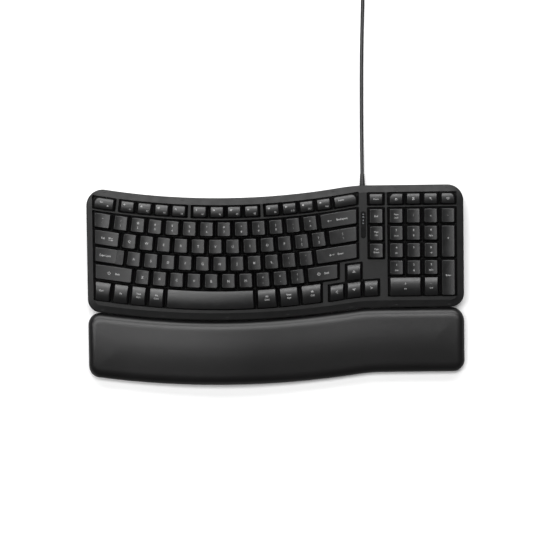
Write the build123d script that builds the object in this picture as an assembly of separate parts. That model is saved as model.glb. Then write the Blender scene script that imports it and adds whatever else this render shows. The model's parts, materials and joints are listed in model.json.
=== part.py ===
from build123d import *
import os
from math import asin, atan, cos, degrees, hypot, pi, radians, sin, sqrt, tan

# A full-size wired keyboard whose rows bow towards the user and whose keys
# follow a low wave, with a padded palm rest along its front.
# Millimetres. X runs to the right, Y to the rear, Z up from the desk.
# The origin is on the desk, under the middle of keyboard and palm rest.

# Case outline in plan
case_width = 416.7
case_depth = 135.35
rear_dip = 12.25
rear_radius = 806.0
front_sag = 11.9
front_radius = 960.0
bow_x = -54.4
rear_corner = 18.0
front_corner = 15.0
outline_blend = 200.0
case_wall = 2.2

# Palm rest outline in plan
palm_width = 417.3
palm_depth = 71.4
palm_gap = 0.3
palm_sag = 12.16
palm_radius = 1017.0
palm_rear_corner = 15.0
palm_front_corner = 13.0

overall_depth = case_depth + palm_gap + palm_depth + palm_sag
rear_y = overall_depth / 2
front_y = rear_y - case_depth

# Deck slope, wave, and the heights of the stack measured square to the deck
deck_tilt = 4.0
wave_height = 4.5
wave_length = 240.0
plate_z = 7.45
plate_thickness = 0.6
membrane_thickness = 0.3
sheet_thickness = 0.3
stack_margin = 2.4
dome_height = 3.8
dome_base_radius = 4.6
dome_top_radius = 2.8
dome_wall = 0.5
frame_thickness = 1.35
frame_rim = 1.2
frame_leg = 2.4
leg_key = 28.0
sleeve_rise = 3.0
key_travel = 2.8
deck_level = 12.5
deck_thickness = 2.4
key_level = 17.5

# Case in section
pad_proud = 1.5
floor_thickness = 2.0
split_z = 7.0
lip_rise = 1.5
lip_width = 1.0
lip_clearance = 0.1
rim_slope_width = 8.0
rim_slope_drop = 1.8
rim_round = 1.4
base_chamfer = 1.6
tall = 60.0
overrun = 1.0
seat_gap = 0.05
wall_tilt_share = 0.1
edge_climb_share = 0.5
wave_steps = 6

# Keys in plan, from the edges of each key's cell
pitch = 19.05
row_radius = 840.0
foot_inset = 0.475
face_side_inset = 2.77
face_end_inset = 2.05
low_side_inset = 2.85
low_end_inset = 1.6
thumb_front_inset = 1.0
foot_corner = 1.2
face_corner = 1.4
big_corner = 5.5
left_column_x = -201.35
right_column_x = 92.4
shift_column_x = 70.8
control_column_x = 51.7

# Rows of the bow, at its lowest point, and the straight block at the right
number_row_y = 63.05
low_row_y = 82.15
low_row_depth = 14.0
thumb_row_depth = 22.4
numpad_row_y = 75.35
hot_row_y = 94.25
numpad_x = 133.75
navigation_x = 111.65
arrow_x = 86.45
arrow_rise_y = 14.15
left_arrow_y = -8.35
down_arrow_y = -5.65
right_arrow_y = -4.15
left_arrow_slope = 8.5
down_arrow_slope = 6.5
right_arrow_slope = 3.5
number_row_share = -6.6
top_row_share = -6.11
home_row_share = -5.87
shift_row_share = -5.38
thumb_row_shares = (-6.52, -5.51, -4.5, -3.48, 1.64, 2.91, 4.15)
low_group_shares = (-6.2, -2.0, 2.2)
escape_share = -6.39
delete_share = 6.21

# Key caps in section
skirt_level = 10.4
cap_wall = 1.2
cap_roof = 1.4
dish_depth = 0.7
bottom_dish_depth = 0.69
thumb_crown = 1.5
low_crown = 0.8
edge_round = 0.5
ledge_width = 6.4
ledge_drop = 1.8
cut_reach_share = 1.4
cut_limit_share = 0.95
bar_steps = 6
bar_depth_shares = (-1.3, -0.9, -0.45, 0, 0.45, 0.9, 1.3)

# Plungers, sleeves and the ears that keep the caps in
plunger_side = 6.6
slide_clearance = 0.06
sleeve_wall = 1.2
ear_reach = 0.6
ear_width = 2.4
ear_thickness = 0.75
wide_key = 33.0
guide_share = 0.27
bar_guide_share = 0.24

# Space bar stabiliser wire
wire_diameter = 1.2
wire_back = 5.8
wire_arm = 9.0
wire_half_span = 34.0
wire_end = 3.0
wire_bend = 1.3
wire_clearance = 0.06
wire_clip_width = 3.0
wire_clip_wall = 1.1
wire_clip_x = 30.0
hook_slot = 1.0
hook_clearance = 0.3

# Wells in the deck
well_clearance = 0.55
well_wall = 1.2
well_corner = 1.5
well_corner_reach = 6.0

# Indicator window and its lamps
window_x = 97.45
window_y = 65.85
window_width = 5.7
window_length = 30.0
window_proud = 0.15
window_clearance = 0.05
window_tab = 1.4
window_tab_thickness = 0.6
lamp_count = 4
lamp_pitch = 3.46
lamp_side = 1.6
lamp_height = 0.7
lamp_first = 3.0
lamp_board_width = 5.2
lamp_board_thickness = 0.8

# Screws of case and palm rest
screw_shank = 2.0
screw_head = 3.8
screw_head_height = 1.1
screw_length = 7.0
screw_clearance = 0.05
screw_slot = 0.8
screw_slot_share = 0.7
post_diameter = 5.0
post_hole_gap = 1.2
post_wall_gap = 0.4
boss_diameter = 6.6
boss_top_z = 4.4
rear_post_shares = (-0.45, -0.245, -0.018, 0.155, 0.32, 0.455)
front_post_shares = (-0.46, -0.30, -0.13, 0.03, 0.2, 0.32, 0.46)

# Tilt feet
foot_x = 172.0
foot_y = 93.0
foot_width = 34.0
foot_length = 21.0
foot_thickness = 3.2
pivot_radius = 1.4
pivot_reach = 1.5
pivot_clearance = 0.06
pocket_gap = 0.4
pocket_wall = 1.6
pocket_roof = 1.4
foot_tip_length = 4.0
foot_tip_wall = 1.0

# Pads on the desk
pad_length = 22.0
pad_width = 8.0
pad_recess = 0.7
pad_edge = 11.0
pad_x_share = 0.42

# Palm rest in section
palm_tray_z = 5.0
palm_tray_wall = 2.4
palm_rear_z = 17.4
palm_front_z = 12.6
palm_crown = 1.4
palm_roll = 5.4
palm_tuck = 0.9
palm_wave_share = 0.6
palm_steps = 12
palm_depth_shares = (-0.1, 0.1, 0.3, 0.5, 0.7, 0.9, 1.1)
cover_thickness = 1.8
foam_clearance = 0.2
tongue_width = 26.0
tongue_reach = 10.0
tongue_thickness = 1.4
tongue_clearance = 0.15
tongue_shares = (-0.38, -0.21, 0.115, 0.385)
catch_length = 12.0
catch_width = 2.0
catch_height = 0.8

# Ribs of the bottom case
rib_thickness = 1.6
rib_shares = (-0.33, -0.22, -0.11, 0.0, 0.09, 0.3)

# Controller board
board_x = 76.0
board_y = 88.0
board_width = 46.0
board_depth = 18.0
board_thickness = 1.2
board_z = 6.5
board_post_diameter = 4.0
chip_side = 7.0
chip_height = 1.1
socket_length = 14.0
socket_depth = 3.0
socket_height = 1.8

# Cable, its strain relief, its coil and its plug
cable_diameter = 4.0
relief_diameter = 6.4
relief_tip_diameter = 4.9
relief_length = 8.0
relief_flange_diameter = 8.2
relief_flange_thickness = 1.4
relief_x = 97.45
cable_route = (
    (97.45, 117.7, 7.0),
    (97.45, 129.0, 6.7),
    (97.5, 148.0, 4.1),
    (97.6, 172.0, 2.05),
    (97.9, 214.0, 2.05),
    (98.7, 262.0, 2.05),
    (100.3, 306.0, 2.1),
    (101.0, 331.0, 2.8),
    (101.0, 357.0, 2.8),
)
tail_route = (
    (64.0, 394.0, 7.3),
    (53.0, 394.0, 7.3),
    (37.0, 394.6, 5.2),
    (23.0, 395.8, 4.15),
    (12.0, 396.6, 4.15),
)
coil_radius = 33.0
coil_step = 4.5
coil_half_turns = 8
run_share = 0.45
tie_width = 6.0
tie_thickness = 0.6
tie_clearance = 0.2
tie_inner_gap = 0.7
plug_width = 15.6
plug_height = 8.1
plug_length = 22.0
plug_neck_diameter = 6.0
plug_neck_length = 9.0
plug_round = 2.4
plug_step = 0.6
shell_width = 12.0
shell_height = 4.5
shell_length = 12.0
shell_full_share = 1.5
shell_wall = 0.3
tongue_bar_height = 1.8

membrane_level = plate_thickness
sheet_level = membrane_level + membrane_thickness
dome_level = sheet_level + sheet_thickness
plunger_level = dome_level + dome_height
frame_level = plunger_level + ear_thickness + slide_clearance
frame_top_level = frame_level + frame_thickness
sleeve_top_level = frame_top_level + sleeve_rise
bottom_z = pad_proud
floor_top_z = bottom_z + floor_thickness
screw_head_z = bottom_z + screw_clearance * 2
lifted = (Align.CENTER, Align.CENTER, Align.MIN)


def on_deck(shape):
    """Sets a shape drawn square to the deck at the deck's slope."""
    place = Location((0, 0, plate_z + key_level)) * Location((0, 0, 0), (deck_tilt, 0, 0))
    return place * Location((0, 0, -key_level)) * shape


def wave(x):
    """How far the deck and the keys rise over their lowest level at x."""
    part = abs(x - bow_x) / (wave_length / 2)
    return 0 if part >= 1 else wave_height * (1 + cos(pi * part)) / 2


def wave_slope(x):
    part = (x - bow_x) / (wave_length / 2)
    return 0 if abs(part) >= 1 else -wave_height * pi * sin(pi * part) / wave_length


def bow_y(x, lowest_y, radius):
    """The y of an arc that opens to the rear, at x."""
    return lowest_y + radius - sqrt(radius**2 - (x - bow_x) ** 2)


def bow_reach(sag, radius):
    """How far from its lowest point an arc has risen by sag."""
    return sqrt(radius**2 - (radius - sag) ** 2)


def rounded(sketch, point, radius):
    """The sketch with its corner nearest to point rounded."""
    nearest = min(sketch.vertices(), key=lambda v: hypot(v.X - point[0], v.Y - point[1]))
    return fillet(nearest, radius)


def bowed_outline(width, rear, front):
    """An outline between two edges, each an arc that runs into a straight line.

    rear and front are the line's y, the arc's sag, its radius and the corner radius.
    """
    rear_line, rear_sag, rear_r, rear_round = rear
    front_line, front_fall, front_r, front_round = front
    half = width / 2
    rear_low, front_low = rear_line - rear_sag, front_line - front_fall
    rear_join = (bow_x + bow_reach(rear_sag, rear_r), rear_line)
    front_join = (bow_x + bow_reach(front_fall, front_r), front_line)
    left_front = (-half, bow_y(-half, front_low, front_r))
    left_rear = (-half, bow_y(-half, rear_low, rear_r))
    right_rear, right_front = (half, rear_line), (half, front_line)
    sketch = make_face(
        [
            Line(left_front, left_rear),
            ThreePointArc(left_rear, (bow_x, rear_low), rear_join),
            Line(rear_join, right_rear),
            Line(right_rear, right_front),
            Line(right_front, front_join),
            ThreePointArc(front_join, (bow_x, front_low), left_front),
        ]
    )
    corners = (
        (left_front, front_round),
        (left_rear, rear_round),
        (rear_join, outline_blend),
        (right_rear, rear_round),
        (right_front, front_round),
        (front_join, outline_blend),
    )
    for point, radius in corners:
        sketch = rounded(sketch, point, radius)
    return sketch


def case_outline():
    rear = (rear_y, rear_dip, rear_radius, rear_corner)
    front = (front_y, front_sag, front_radius, front_corner)
    return bowed_outline(case_width, rear, front)


def below_deck(level):
    """Everything under the waved surface that lies level above the plate."""
    half = case_width
    crest = [bow_x + wave_length / 2 * step / wave_steps for step in range(-wave_steps, wave_steps + 1)]
    points = [(x, 0, level + wave(x)) for x in crest]
    left, right = (-half, 0, level), (half, 0, level)
    left_low, right_low = (-half, 0, -tall), (half, 0, -tall)
    section = make_face(
        [
            Line(left_low, left),
            Line(left, points[0]),
            Spline(points, tangents=((1, 0, 0), (1, 0, 0))),
            Line(points[-1], right),
            Line(right, right_low),
            Line(right_low, left_low),
        ]
    )
    start = Location((0, -case_width / 2, 0))
    return on_deck(start * extrude(section, case_width, dir=(0, 1, 0)))


class Key:
    """One key cell: its bounds in plan, and the form of its cap.

    A bowed key's left and right are distances along its row from the lowest
    point, or x where that side is plumb. A straight key's are x.
    """

    def __init__(self, row_y, front, rear, left, right, plumb=(False, False), bowed=True):
        self.row_y, self.front, self.rear = row_y, front, rear
        self.left, self.right = left, right
        self.plumb, self.bowed = plumb, bowed
        self.slope = 0
        self.side_inset = face_side_inset
        self.front_inset = self.rear_inset = face_end_inset
        self.crown = 0
        self.dish = dish_depth
        self.big_corners = ()
        self.arched = False
        self.stepped = False
        self.guides = guide_share

    def point(self, side, v, inset):
        """A point at distance v from the row, on the left (0) or right (1) side."""
        bound = self.right - inset if side else self.left + inset
        if not self.bowed:
            return (bound, self.row_y + v + self.slope * (bound - (self.left + self.right) / 2))
        centre_y, radius = self.row_y + row_radius, row_radius - v
        if self.plumb[side]:
            return (bound, centre_y - sqrt(radius**2 - (bound - bow_x) ** 2))
        turn = bound / row_radius
        return (bow_x + radius * sin(turn), centre_y - radius * cos(turn))

    def corners(self, side_inset, front_inset, rear_inset):
        """Front left, front right, rear right and rear left."""
        front, rear = self.front + front_inset, self.rear - rear_inset
        ends = ((0, front), (1, front), (1, rear), (0, rear))
        return [self.point(side, v, side_inset) for side, v in ends]

    @property
    def middle(self):
        corners = self.corners(0, 0, 0)
        return (sum(x for x, y in corners) / 4, sum(y for x, y in corners) / 4)

    @property
    def angle(self):
        """The key's turn in plan, in degrees."""
        if self.bowed:
            return degrees(asin((self.middle[0] - bow_x) / row_radius))
        return degrees(atan(self.slope))

    @property
    def width(self):
        (x0, y0), (x1, y1) = self.corners(0, 0, 0)[:2]
        return hypot(x1 - x0, y1 - y0)

    @property
    def depth(self):
        return self.rear - self.front

    @property
    def face_level(self):
        return key_level + wave(self.middle[0])

    @property
    def roof_level(self):
        """The underside of the cap's roof, clear of the lowest spot of its face."""
        fall = abs(wave_slope(self.middle[0])) * self.width / 2
        if self.arched:
            fall = self.face_level - min(key_level + wave(x) for x, y in self.corners(0, 0, 0))
        return self.face_level - max(self.dish, self.crown) - fall - cap_roof

    def insets(self, level, wall):
        """How far the cap stands inside its cell at a level; its sides lean in steadily."""
        share = (level - skirt_level) / (self.face_level - skirt_level)
        insets = (self.side_inset, self.front_inset, self.rear_inset)
        return [foot_inset + (inset - foot_inset) * share + wall for inset in insets]

    def on_arc(self, v):
        """The middle of the row's arc across the key, at distance v from the row."""
        turn = radians(self.angle)
        radius = row_radius - v
        return (bow_x + radius * sin(turn), self.row_y + row_radius - radius * cos(turn))

    def face(self, level, wall=0, corner=0):
        """The cap's outline at a level, as a face."""
        side_inset, front_inset, rear_inset = self.insets(level, wall)
        points = self.corners(side_inset, front_inset, rear_inset)
        edges = [Line(points[k], points[(k + 1) % 4]) for k in range(4)]
        if self.arched:
            front, rear = self.on_arc(self.front + front_inset), self.on_arc(self.rear - rear_inset)
            edges[0] = ThreePointArc(points[0], front, points[1])
            edges[2] = ThreePointArc(points[2], rear, points[3])
        sketch = make_face(edges)
        if corner:
            for index, point in enumerate(points):
                radius = big_corner if index in self.big_corners else corner
                sketch = rounded(sketch, point, radius)
        return Location((0, 0, level)) * sketch

    def place(self, level=0):
        return Location((*self.middle, level), (0, 0, self.angle))


def bowed_row(row_y, first, names, depth=pitch):
    """Keys one pitch wide along a bowed row; first is the left bound, in pitches."""
    bounds = [(first + step) * pitch for step in range(len(names) + 1)]
    return [Key(row_y, -depth / 2, depth / 2, *bounds[k:k + 2]) for k in range(len(names))]


def low_key(key):
    """A function key: shallower, crowned, with its own insets."""
    key.side_inset, key.front_inset, key.rear_inset = low_side_inset, low_end_inset, low_end_inset
    key.crown = low_crown
    return key


def thumb_key(key):
    """A key of the front row, whose face rolls down towards the user."""
    key.front_inset, key.crown = thumb_front_inset, thumb_crown
    return key


def straight_key(x, y, columns=1, rows=1):
    """A key of the straight block, centred on x and y."""
    half = pitch / 2
    return Key(y, -half * rows, half * rows, x - half * columns, x + half * columns, bowed=False)


def low_row():
    """Escape, the function keys in three groups of four, and delete."""
    half = low_row_depth / 2
    escape = Key(low_row_y, -half, half, left_column_x, escape_share * pitch, (True, False))
    delete = Key(low_row_y, -half, half, delete_share * pitch, right_column_x, (False, True))
    escape.big_corners, delete.big_corners = (3,), (2,)
    keys = {"escape_key": [low_key(escape)], "delete_key": [low_key(delete)]}
    names = ("f1_to_f4_keys", "f5_to_f8_keys", "f9_to_f12_keys")
    for name, first in zip(names, low_group_shares):
        keys[name] = [low_key(key) for key in bowed_row(low_row_y, first, range(4), low_row_depth)]
    return keys


def typing_rows():
    """The four rows of the bow from the digits to the shift keys."""
    half = pitch / 2
    rows = (
        (number_row_share, 12, right_column_x),
        (top_row_share, 12, right_column_x),
        (home_row_share, 11, right_column_x),
        (shift_row_share, 10, shift_column_x),
    )
    ends = (
        ("digit_row_keys", "digit_row_keys", "backspace_key"),
        ("tab_key", "top_row_keys", "backslash_key"),
        ("caps_lock_key", "home_row_keys", "enter_key"),
        ("left_shift_key", "bottom_row_keys", "right_shift_key"),
    )
    keys = {}
    for step, ((share, count, right_x), names) in enumerate(zip(rows, ends)):
        row_y = number_row_y - pitch * step
        first, last = share * pitch, (share + count) * pitch
        keys[names[0]] = [Key(row_y, -half, half, left_column_x, first, (True, False))]
        keys.setdefault(names[1], [])
        keys[names[1]] += bowed_row(row_y, share, range(count))
        keys[names[2]] = [Key(row_y, -half, half, last, right_x, (False, True))]
    keys["caps_lock_key"][0].stepped = True
    for name in ends[-1]:
        for key in keys[name]:
            key.dish = bottom_dish_depth
    return keys


def thumb_row():
    """The front row of the bow, with the space bar."""
    row_y = number_row_y - pitch * 3
    rear = -pitch / 2
    front = rear - thumb_row_depth
    bounds = [share * pitch for share in thumb_row_shares]
    cells = [thumb_key(Key(row_y, front, rear, *bounds[k:k + 2])) for k in range(6)]
    left = thumb_key(Key(row_y, front, rear, left_column_x, bounds[0], (True, False)))
    right = thumb_key(Key(row_y, front, rear, bounds[-1], control_column_x, (False, True)))
    cells[3].arched, cells[3].guides = True, bar_guide_share
    return {
        "left_control_key": [left],
        "left_modifier_keys": cells[:3],
        "space_bar": [cells[3]],
        "right_modifier_keys": cells[4:],
        "right_control_key": [right],
    }


def arrow_keys():
    places = (
        ("up_arrow_key", arrow_x, arrow_rise_y, down_arrow_slope),
        ("left_arrow_key", arrow_x - pitch, left_arrow_y, left_arrow_slope),
        ("down_arrow_key", arrow_x, down_arrow_y, down_arrow_slope),
        ("right_arrow_key", arrow_x + pitch, right_arrow_y, right_arrow_slope),
    )
    keys = {}
    for name, x, y, slope in places:
        key = thumb_key(straight_key(x, y))
        key.slope = tan(radians(slope))
        keys[name] = [key]
    return keys


def straight_block():
    """The navigation column, the hot keys and the numeric pad."""
    column = [numpad_x + pitch * step for step in range(4)]
    row = [numpad_row_y - pitch * step for step in range(4)]
    half = low_row_depth / 2
    hot = [Key(hot_row_y, -half, half, x - pitch / 2, x + pitch / 2, bowed=False) for x in column]
    home = Key(hot_row_y, -half, half, *[navigation_x + side * pitch / 2 for side in (-1, 1)], bowed=False)
    hot[0].big_corners, hot[3].big_corners = (3,), (2,)
    rear, front = row[3] - pitch / 2, -thumb_row_depth
    bounds = [(column[a] - pitch / 2, column[b] + pitch / 2) for a, b in ((0, 1), (2, 2), (3, 3))]
    zero, point = [Key(rear, front, 0, *pair, bowed=False) for pair in bounds[:2]]
    enter = Key(rear, front, pitch, *bounds[2], bowed=False)
    enter.front_inset = thumb_front_inset
    return {
        "home_key": [low_key(home)],
        "navigation_keys": [straight_key(navigation_x, y) for y in row[:3]],
        "hot_keys": [low_key(key) for key in hot],
        "numpad_top_keys": [straight_key(x, row[0]) for x in column],
        "numpad_digit_keys": [straight_key(x, y) for y in row[1:] for x in column[:3]],
        "numpad_plus_key": [straight_key(column[3], (row[1] + row[2]) / 2, rows=2)],
        "numpad_enter_key": [enter],
        "numpad_zero_key": [thumb_key(zero)],
        "numpad_point_key": [thumb_key(point)],
    }


def face_plane(key):
    """The plane that touches the wave at the key's middle, turned with the key."""
    slope, turn = wave_slope(key.middle[0]), radians(key.angle)
    across = (cos(turn), sin(turn), slope * cos(turn))
    return Plane((*key.middle, key.face_level), x_dir=across, z_dir=(-slope, 0, 1))


def above_face(key):
    """What is cut off a cap to leave its face: dished across, or crowned front to back."""
    if key.arched:
        return above_bar(key)
    size = key.depth if key.crown else key.width
    inset = key.rear_inset if key.crown else key.side_inset
    half = size / 2 - inset
    sag = key.crown if key.crown else key.dish
    radius = (half**2 + sag**2) / (2 * sag)
    reach = min(half * cut_reach_share, radius * cut_limit_share)
    fall = radius - sqrt(radius**2 - reach**2)
    ends = -fall if key.crown else fall - sag
    low = 0 if key.crown else -sag
    section = make_face(
        [
            ThreePointArc((-reach, ends), (0, low), (reach, ends)),
            Polyline((reach, ends), (reach, tall), (-reach, tall), (-reach, ends)),
        ]
    )
    plane = face_plane(key)
    length = max(key.width, key.depth) * 2
    across = Plane.YZ if key.crown else Plane.XZ
    return plane.location * across.location * Location((0, 0, -length / 2)) * extrude(section, length)


def above_bar(key):
    """The space bar's face follows the wave along the row and is crowned across it."""
    half = key.depth / 2
    steps = [step / bar_steps for step in range(-bar_steps - 1, bar_steps + 2)]
    grid = []
    for across in steps:
        line = []
        for along in bar_depth_shares:
            turn = (key.left + key.right) / 2 + across * (key.right - key.left) / 2
            v = (key.front + key.rear) / 2 + along * half
            x = bow_x + (row_radius - v) * sin(turn / row_radius)
            y = key.row_y + row_radius - (row_radius - v) * cos(turn / row_radius)
            line.append(Vector(x, y, key_level + wave(x) - key.crown * along**2))
        grid.append(line)
    surface = Face.make_surface_from_array_of_points(grid)
    return extrude(surface, tall, dir=(0, 0, 1))


def guide_places(key):
    """Where a cap's plungers stand, in the key's own frame; the first one presses the dome."""
    places = [(0, 0)]
    if key.width > wide_key:
        places += [(side * key.guides * key.width, 0) for side in (-1, 1)]
    elif key.depth > wide_key:
        places += [(0, side * key.guides * key.depth) for side in (-1, 1)]
    return places


def plunger(key, place, eared):
    top = key.roof_level + cap_roof / 2
    side, height = plunger_side, top - plunger_level
    stem = Box(side, side, height, align=lifted)
    if eared:
        stem += Box(side + 2 * ear_reach, ear_width, ear_thickness, align=lifted)
    return key.place(plunger_level) * Location((*place, 0)) * stem


def ledge(key):
    """What is cut off a stepped cap to leave the low ledge at its right side."""
    edge = key.width / 2 - face_side_inset - ledge_width
    low = key.face_level - ledge_drop
    box = Box(key.width, key.depth * 2, tall, align=(Align.MIN, Align.CENTER, Align.MIN))
    return key.place() * Location((edge, 0, low)) * box


def cap(key):
    """A hollow key cap with its plungers."""
    peak = key.face_level + wave_height + overrun
    skirt = key.face(skirt_level, corner=foot_corner)
    body = loft([skirt, key.face(peak, corner=face_corner)], ruled=True) - above_face(key)
    top = body.faces().sort_by(Axis.Z)[-1]
    body = fillet(top.edges(), edge_round)
    if key.stepped:
        body -= ledge(key)
    roof = key.roof_level - (ledge_drop if key.stepped else 0)
    hollow = loft([key.face(skirt_level - overrun, cap_wall), key.face(roof, cap_wall)], ruled=True)
    body -= hollow
    inner = [plunger(key, place, index == 0) for index, place in enumerate(guide_places(key))]
    if key.arched:
        inner += bar_hooks(key)
    return (body + inner).solid()


def upright_cylinders(places, radius, low, high):
    return [Location((*place, low)) * Cylinder(radius, high - low, align=lifted) for place in places]


def deck_prism(sketch, low, high=tall):
    """A plan drawn on the deck, extruded between two levels."""
    return extrude(Location((0, 0, low)) * sketch, high - low)


def open_corners(sketch):
    """The corners of a sketch that stand clear of the next ones."""
    edges = [edge for edge in sketch.edges() if edge.length < well_corner_reach]
    ends = [edge @ share for edge in edges for share in (0, 1)]
    return [v for v in sketch.vertices() if all((v.center() - end).length > seat_gap for end in ends)]


def well_sketches():
    """The outlines of the wells in the deck, each round a group of keys."""
    half_low, half = low_row_depth / 2, pitch / 2
    low_ends = [left_column_x] + [share * pitch for share in low_group_shares]
    low_stops = [escape_share * pitch] + [(share + 4) * pitch for share in low_group_shares]
    low_stops[-1] = right_column_x
    groups = []
    for index, (start, stop) in enumerate(zip(low_ends, low_stops)):
        plumb = (index == 0, index == len(low_ends) - 1)
        groups.append([Key(low_row_y, -half_low, half_low, start, stop, plumb)])
    rows = [number_row_y - pitch * step for step in range(4)]
    ends = (right_column_x, right_column_x, right_column_x, shift_column_x)
    main = [Key(y, -half, half, left_column_x, x, (True, True)) for y, x in zip(rows, ends)]
    main.append(Key(rows[3], -half - thumb_row_depth, -half, left_column_x, control_column_x, (True, True)))
    groups.append(main)
    for strip in sum(groups, []):
        strip.arched = True
    groups.append([key for keys in arrow_keys().values() for key in keys])
    block = straight_block()
    groups.append(block["home_key"])
    groups.append([straight_key(navigation_x, numpad_row_y - pitch, rows=3)])
    left, right = numpad_x - half, numpad_x + pitch * 3 + half
    groups.append([Key(hot_row_y, -half_low, half_low, left, right, bowed=False)])
    front = -pitch * 3 - half - thumb_row_depth
    groups.append([Key(numpad_row_y, front, half, left, right, bowed=False)])
    sketches = []
    for group in groups:
        outline = Sketch() + [key.face(skirt_level, -foot_inset - well_clearance) for key in group]
        outline = Location((0, 0, -skirt_level)) * outline
        sketches.append(fillet(open_corners(outline), well_corner))
    return sketches


def stack_outline():
    """The outline of the plate and the layers on it, drawn on the deck, clear of the posts."""
    outline = offset(case_outline(), -case_wall - stack_margin)
    turn = radians(deck_tilt)
    lean = (key_level - frame_top_level / 2) * sin(turn)
    hole = Circle(post_diameter / 2 + post_hole_gap)
    return outline - [Location((x, (y - lean) / cos(turn))) * hole for x, y in post_places()]


def post_places():
    """Where the screws of the case stand, along its rear and front edges."""
    inset = case_wall + post_wall_gap + post_diameter / 2
    rear_low, front_low = rear_y - rear_dip, front_y - front_sag
    places = []
    for share in rear_post_shares:
        x = share * case_width
        joined = x > bow_x + bow_reach(rear_dip, rear_radius)
        y = rear_y if joined else bow_y(x, rear_low, rear_radius)
        places.append((x, y - inset))
    for share in front_post_shares:
        x = share * case_width
        joined = x > bow_x + bow_reach(front_sag, front_radius)
        y = front_y if joined else bow_y(x, front_low, front_radius)
        places.append((x, y + inset))
    return places


def upper_edges(solid):
    """The edges along the top of a solid's upright walls."""
    walls = [face for face in solid.faces() if abs(face.normal_at().Z) < wall_tilt_share]
    edges = [edge for face in walls for edge in face.edges()]
    level = [edge for edge in edges if abs((edge % (1 / 2)).Z) < edge_climb_share]
    lowest = solid.bounding_box().min.Z
    return [edge for edge in level if edge.center().Z > lowest + overrun]


def case_block():
    """The top case as a full block: upright walls under the waved deck, its rim eased."""
    block = extrude(Location((0, 0, split_z)) * case_outline(), tall) & below_deck(deck_level)
    block = chamfer(upper_edges(block), rim_slope_drop, rim_slope_width)
    return fillet(upper_edges(block), rim_round)


def window_sketch(grow=0):
    width, length = window_width + 2 * grow, window_length + 2 * grow
    return Location((window_x, window_y)) * SlotOverall(length, width, rotation=90)


def relief_hole():
    """The hole for the strain relief through the rear wall, and the room for its flange."""
    radius = relief_diameter / 2 + lip_clearance
    hole = Cylinder(radius, 2 * (relief_length + case_wall), rotation=(90, 0, 0))
    flange_y = -case_wall - 2 * seat_gap - relief_flange_thickness / 2
    room_length = relief_flange_thickness + 2 * lip_clearance
    room = Cylinder(relief_flange_diameter / 2 + lip_clearance, room_length, rotation=(90, 0, 0))
    return Location((relief_x, rear_y, split_z)) * (hole + Location((0, flange_y, 0)) * room)


def top_case():
    """The deck with its wells, its walls down to the split and its screw posts."""
    block = case_block()
    inside = Location((0, 0, split_z - overrun)) * offset(case_outline(), -case_wall)
    shell = block - (extrude(inside, tall) & below_deck(deck_level - deck_thickness))
    wells = well_sketches()
    low = frame_top_level + seat_gap
    collars = Part() + [deck_prism(offset(well, well_wall), low) for well in wells]
    posts = upright_cylinders(post_places(), post_diameter / 2, boss_top_z, tall)
    case = shell + (on_deck(collars) & block) + [post & below_deck(deck_level - overrun) for post in posts]
    case -= [on_deck(deck_prism(well, 0)) for well in wells]
    case -= on_deck(deck_prism(window_sketch(window_clearance), 0))
    reach = screw_head_z + screw_head_height + screw_length + seat_gap
    case -= upright_cylinders(post_places(), screw_shank / 2 + screw_clearance, 0, reach)
    return case - relief_hole()


def indicator_window():
    """The smoked window, its two end tabs under the deck, and a light pipe per lamp."""
    low = deck_level - deck_thickness - window_tab_thickness
    window = deck_prism(window_sketch(), low, deck_level + window_proud)
    tabs = Rectangle(window_width / 2, window_length + 2 * window_tab)
    tab_top = deck_level - deck_thickness - seat_gap
    window += deck_prism(Location((window_x, window_y)) * tabs, low, tab_top)
    lamp_top = frame_top_level + lamp_board_thickness + lamp_height
    for place in lamp_places():
        pipe = Location(place) * Rectangle(lamp_side, lamp_side)
        window += deck_prism(pipe, lamp_top, low)
    return on_deck(window)


def lamp_places():
    first = window_y + window_length / 2 - lamp_first
    return [(window_x, first - lamp_pitch * step) for step in range(lamp_count)]


def indicator_board():
    """A narrow board on the key frame, with one lamp under each light pipe."""
    top = frame_top_level + lamp_board_thickness
    strip = Rectangle(lamp_board_width, window_length - 2 * window_tab)
    board = deck_prism(Location((window_x, window_y)) * strip, frame_top_level, top)
    for place in lamp_places():
        board += deck_prism(Location(place) * Rectangle(lamp_side, lamp_side), top, top + lamp_height)
    return on_deck(board)


def steel_plate():
    return on_deck(deck_prism(stack_outline(), 0, plate_thickness))


def membrane():
    """The printed contact layers."""
    return on_deck(deck_prism(stack_outline(), membrane_level, sheet_level))


def dome_sheet(keys):
    """The rubber sheet with one hollow dome under each key."""
    sheet = deck_prism(stack_outline(), sheet_level, dome_level)
    base, top = dome_base_radius, dome_top_radius
    lean = (base - top) * dome_wall / dome_height
    domes, hollows = [], []
    for key in keys:
        spot = Location((*key.middle, dome_level))
        domes.append(spot * Cone(base, top, dome_height, align=lifted))
        hollow = Cone(base - dome_wall, top - dome_wall + lean, dome_height - dome_wall, align=lifted)
        throat = Cylinder(base - dome_wall, sheet_thickness, align=lifted)
        hollows += [spot * hollow, Location((*key.middle, sheet_level)) * throat]
    return on_deck(sheet + domes - hollows)


def frame_clips(bar):
    """The two clips that hold the space bar's wire to the frame."""
    outer = wire_diameter + 2 * (wire_clearance + wire_clip_wall)
    centre = wire_diameter / 2 + seat_gap
    clips = []
    for side in (-1, 1):
        spot = bar.place(frame_top_level) * Location((side * wire_clip_x, wire_back, 0))
        block = Box(wire_clip_width, outer, centre + outer / 2, align=lifted)
        bore = Cylinder(wire_diameter / 2 + wire_clearance, wire_clip_width * 2, rotation=(0, 90, 0))
        clips.append(spot * (block - Location((0, 0, centre)) * bore))
    return clips


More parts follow.
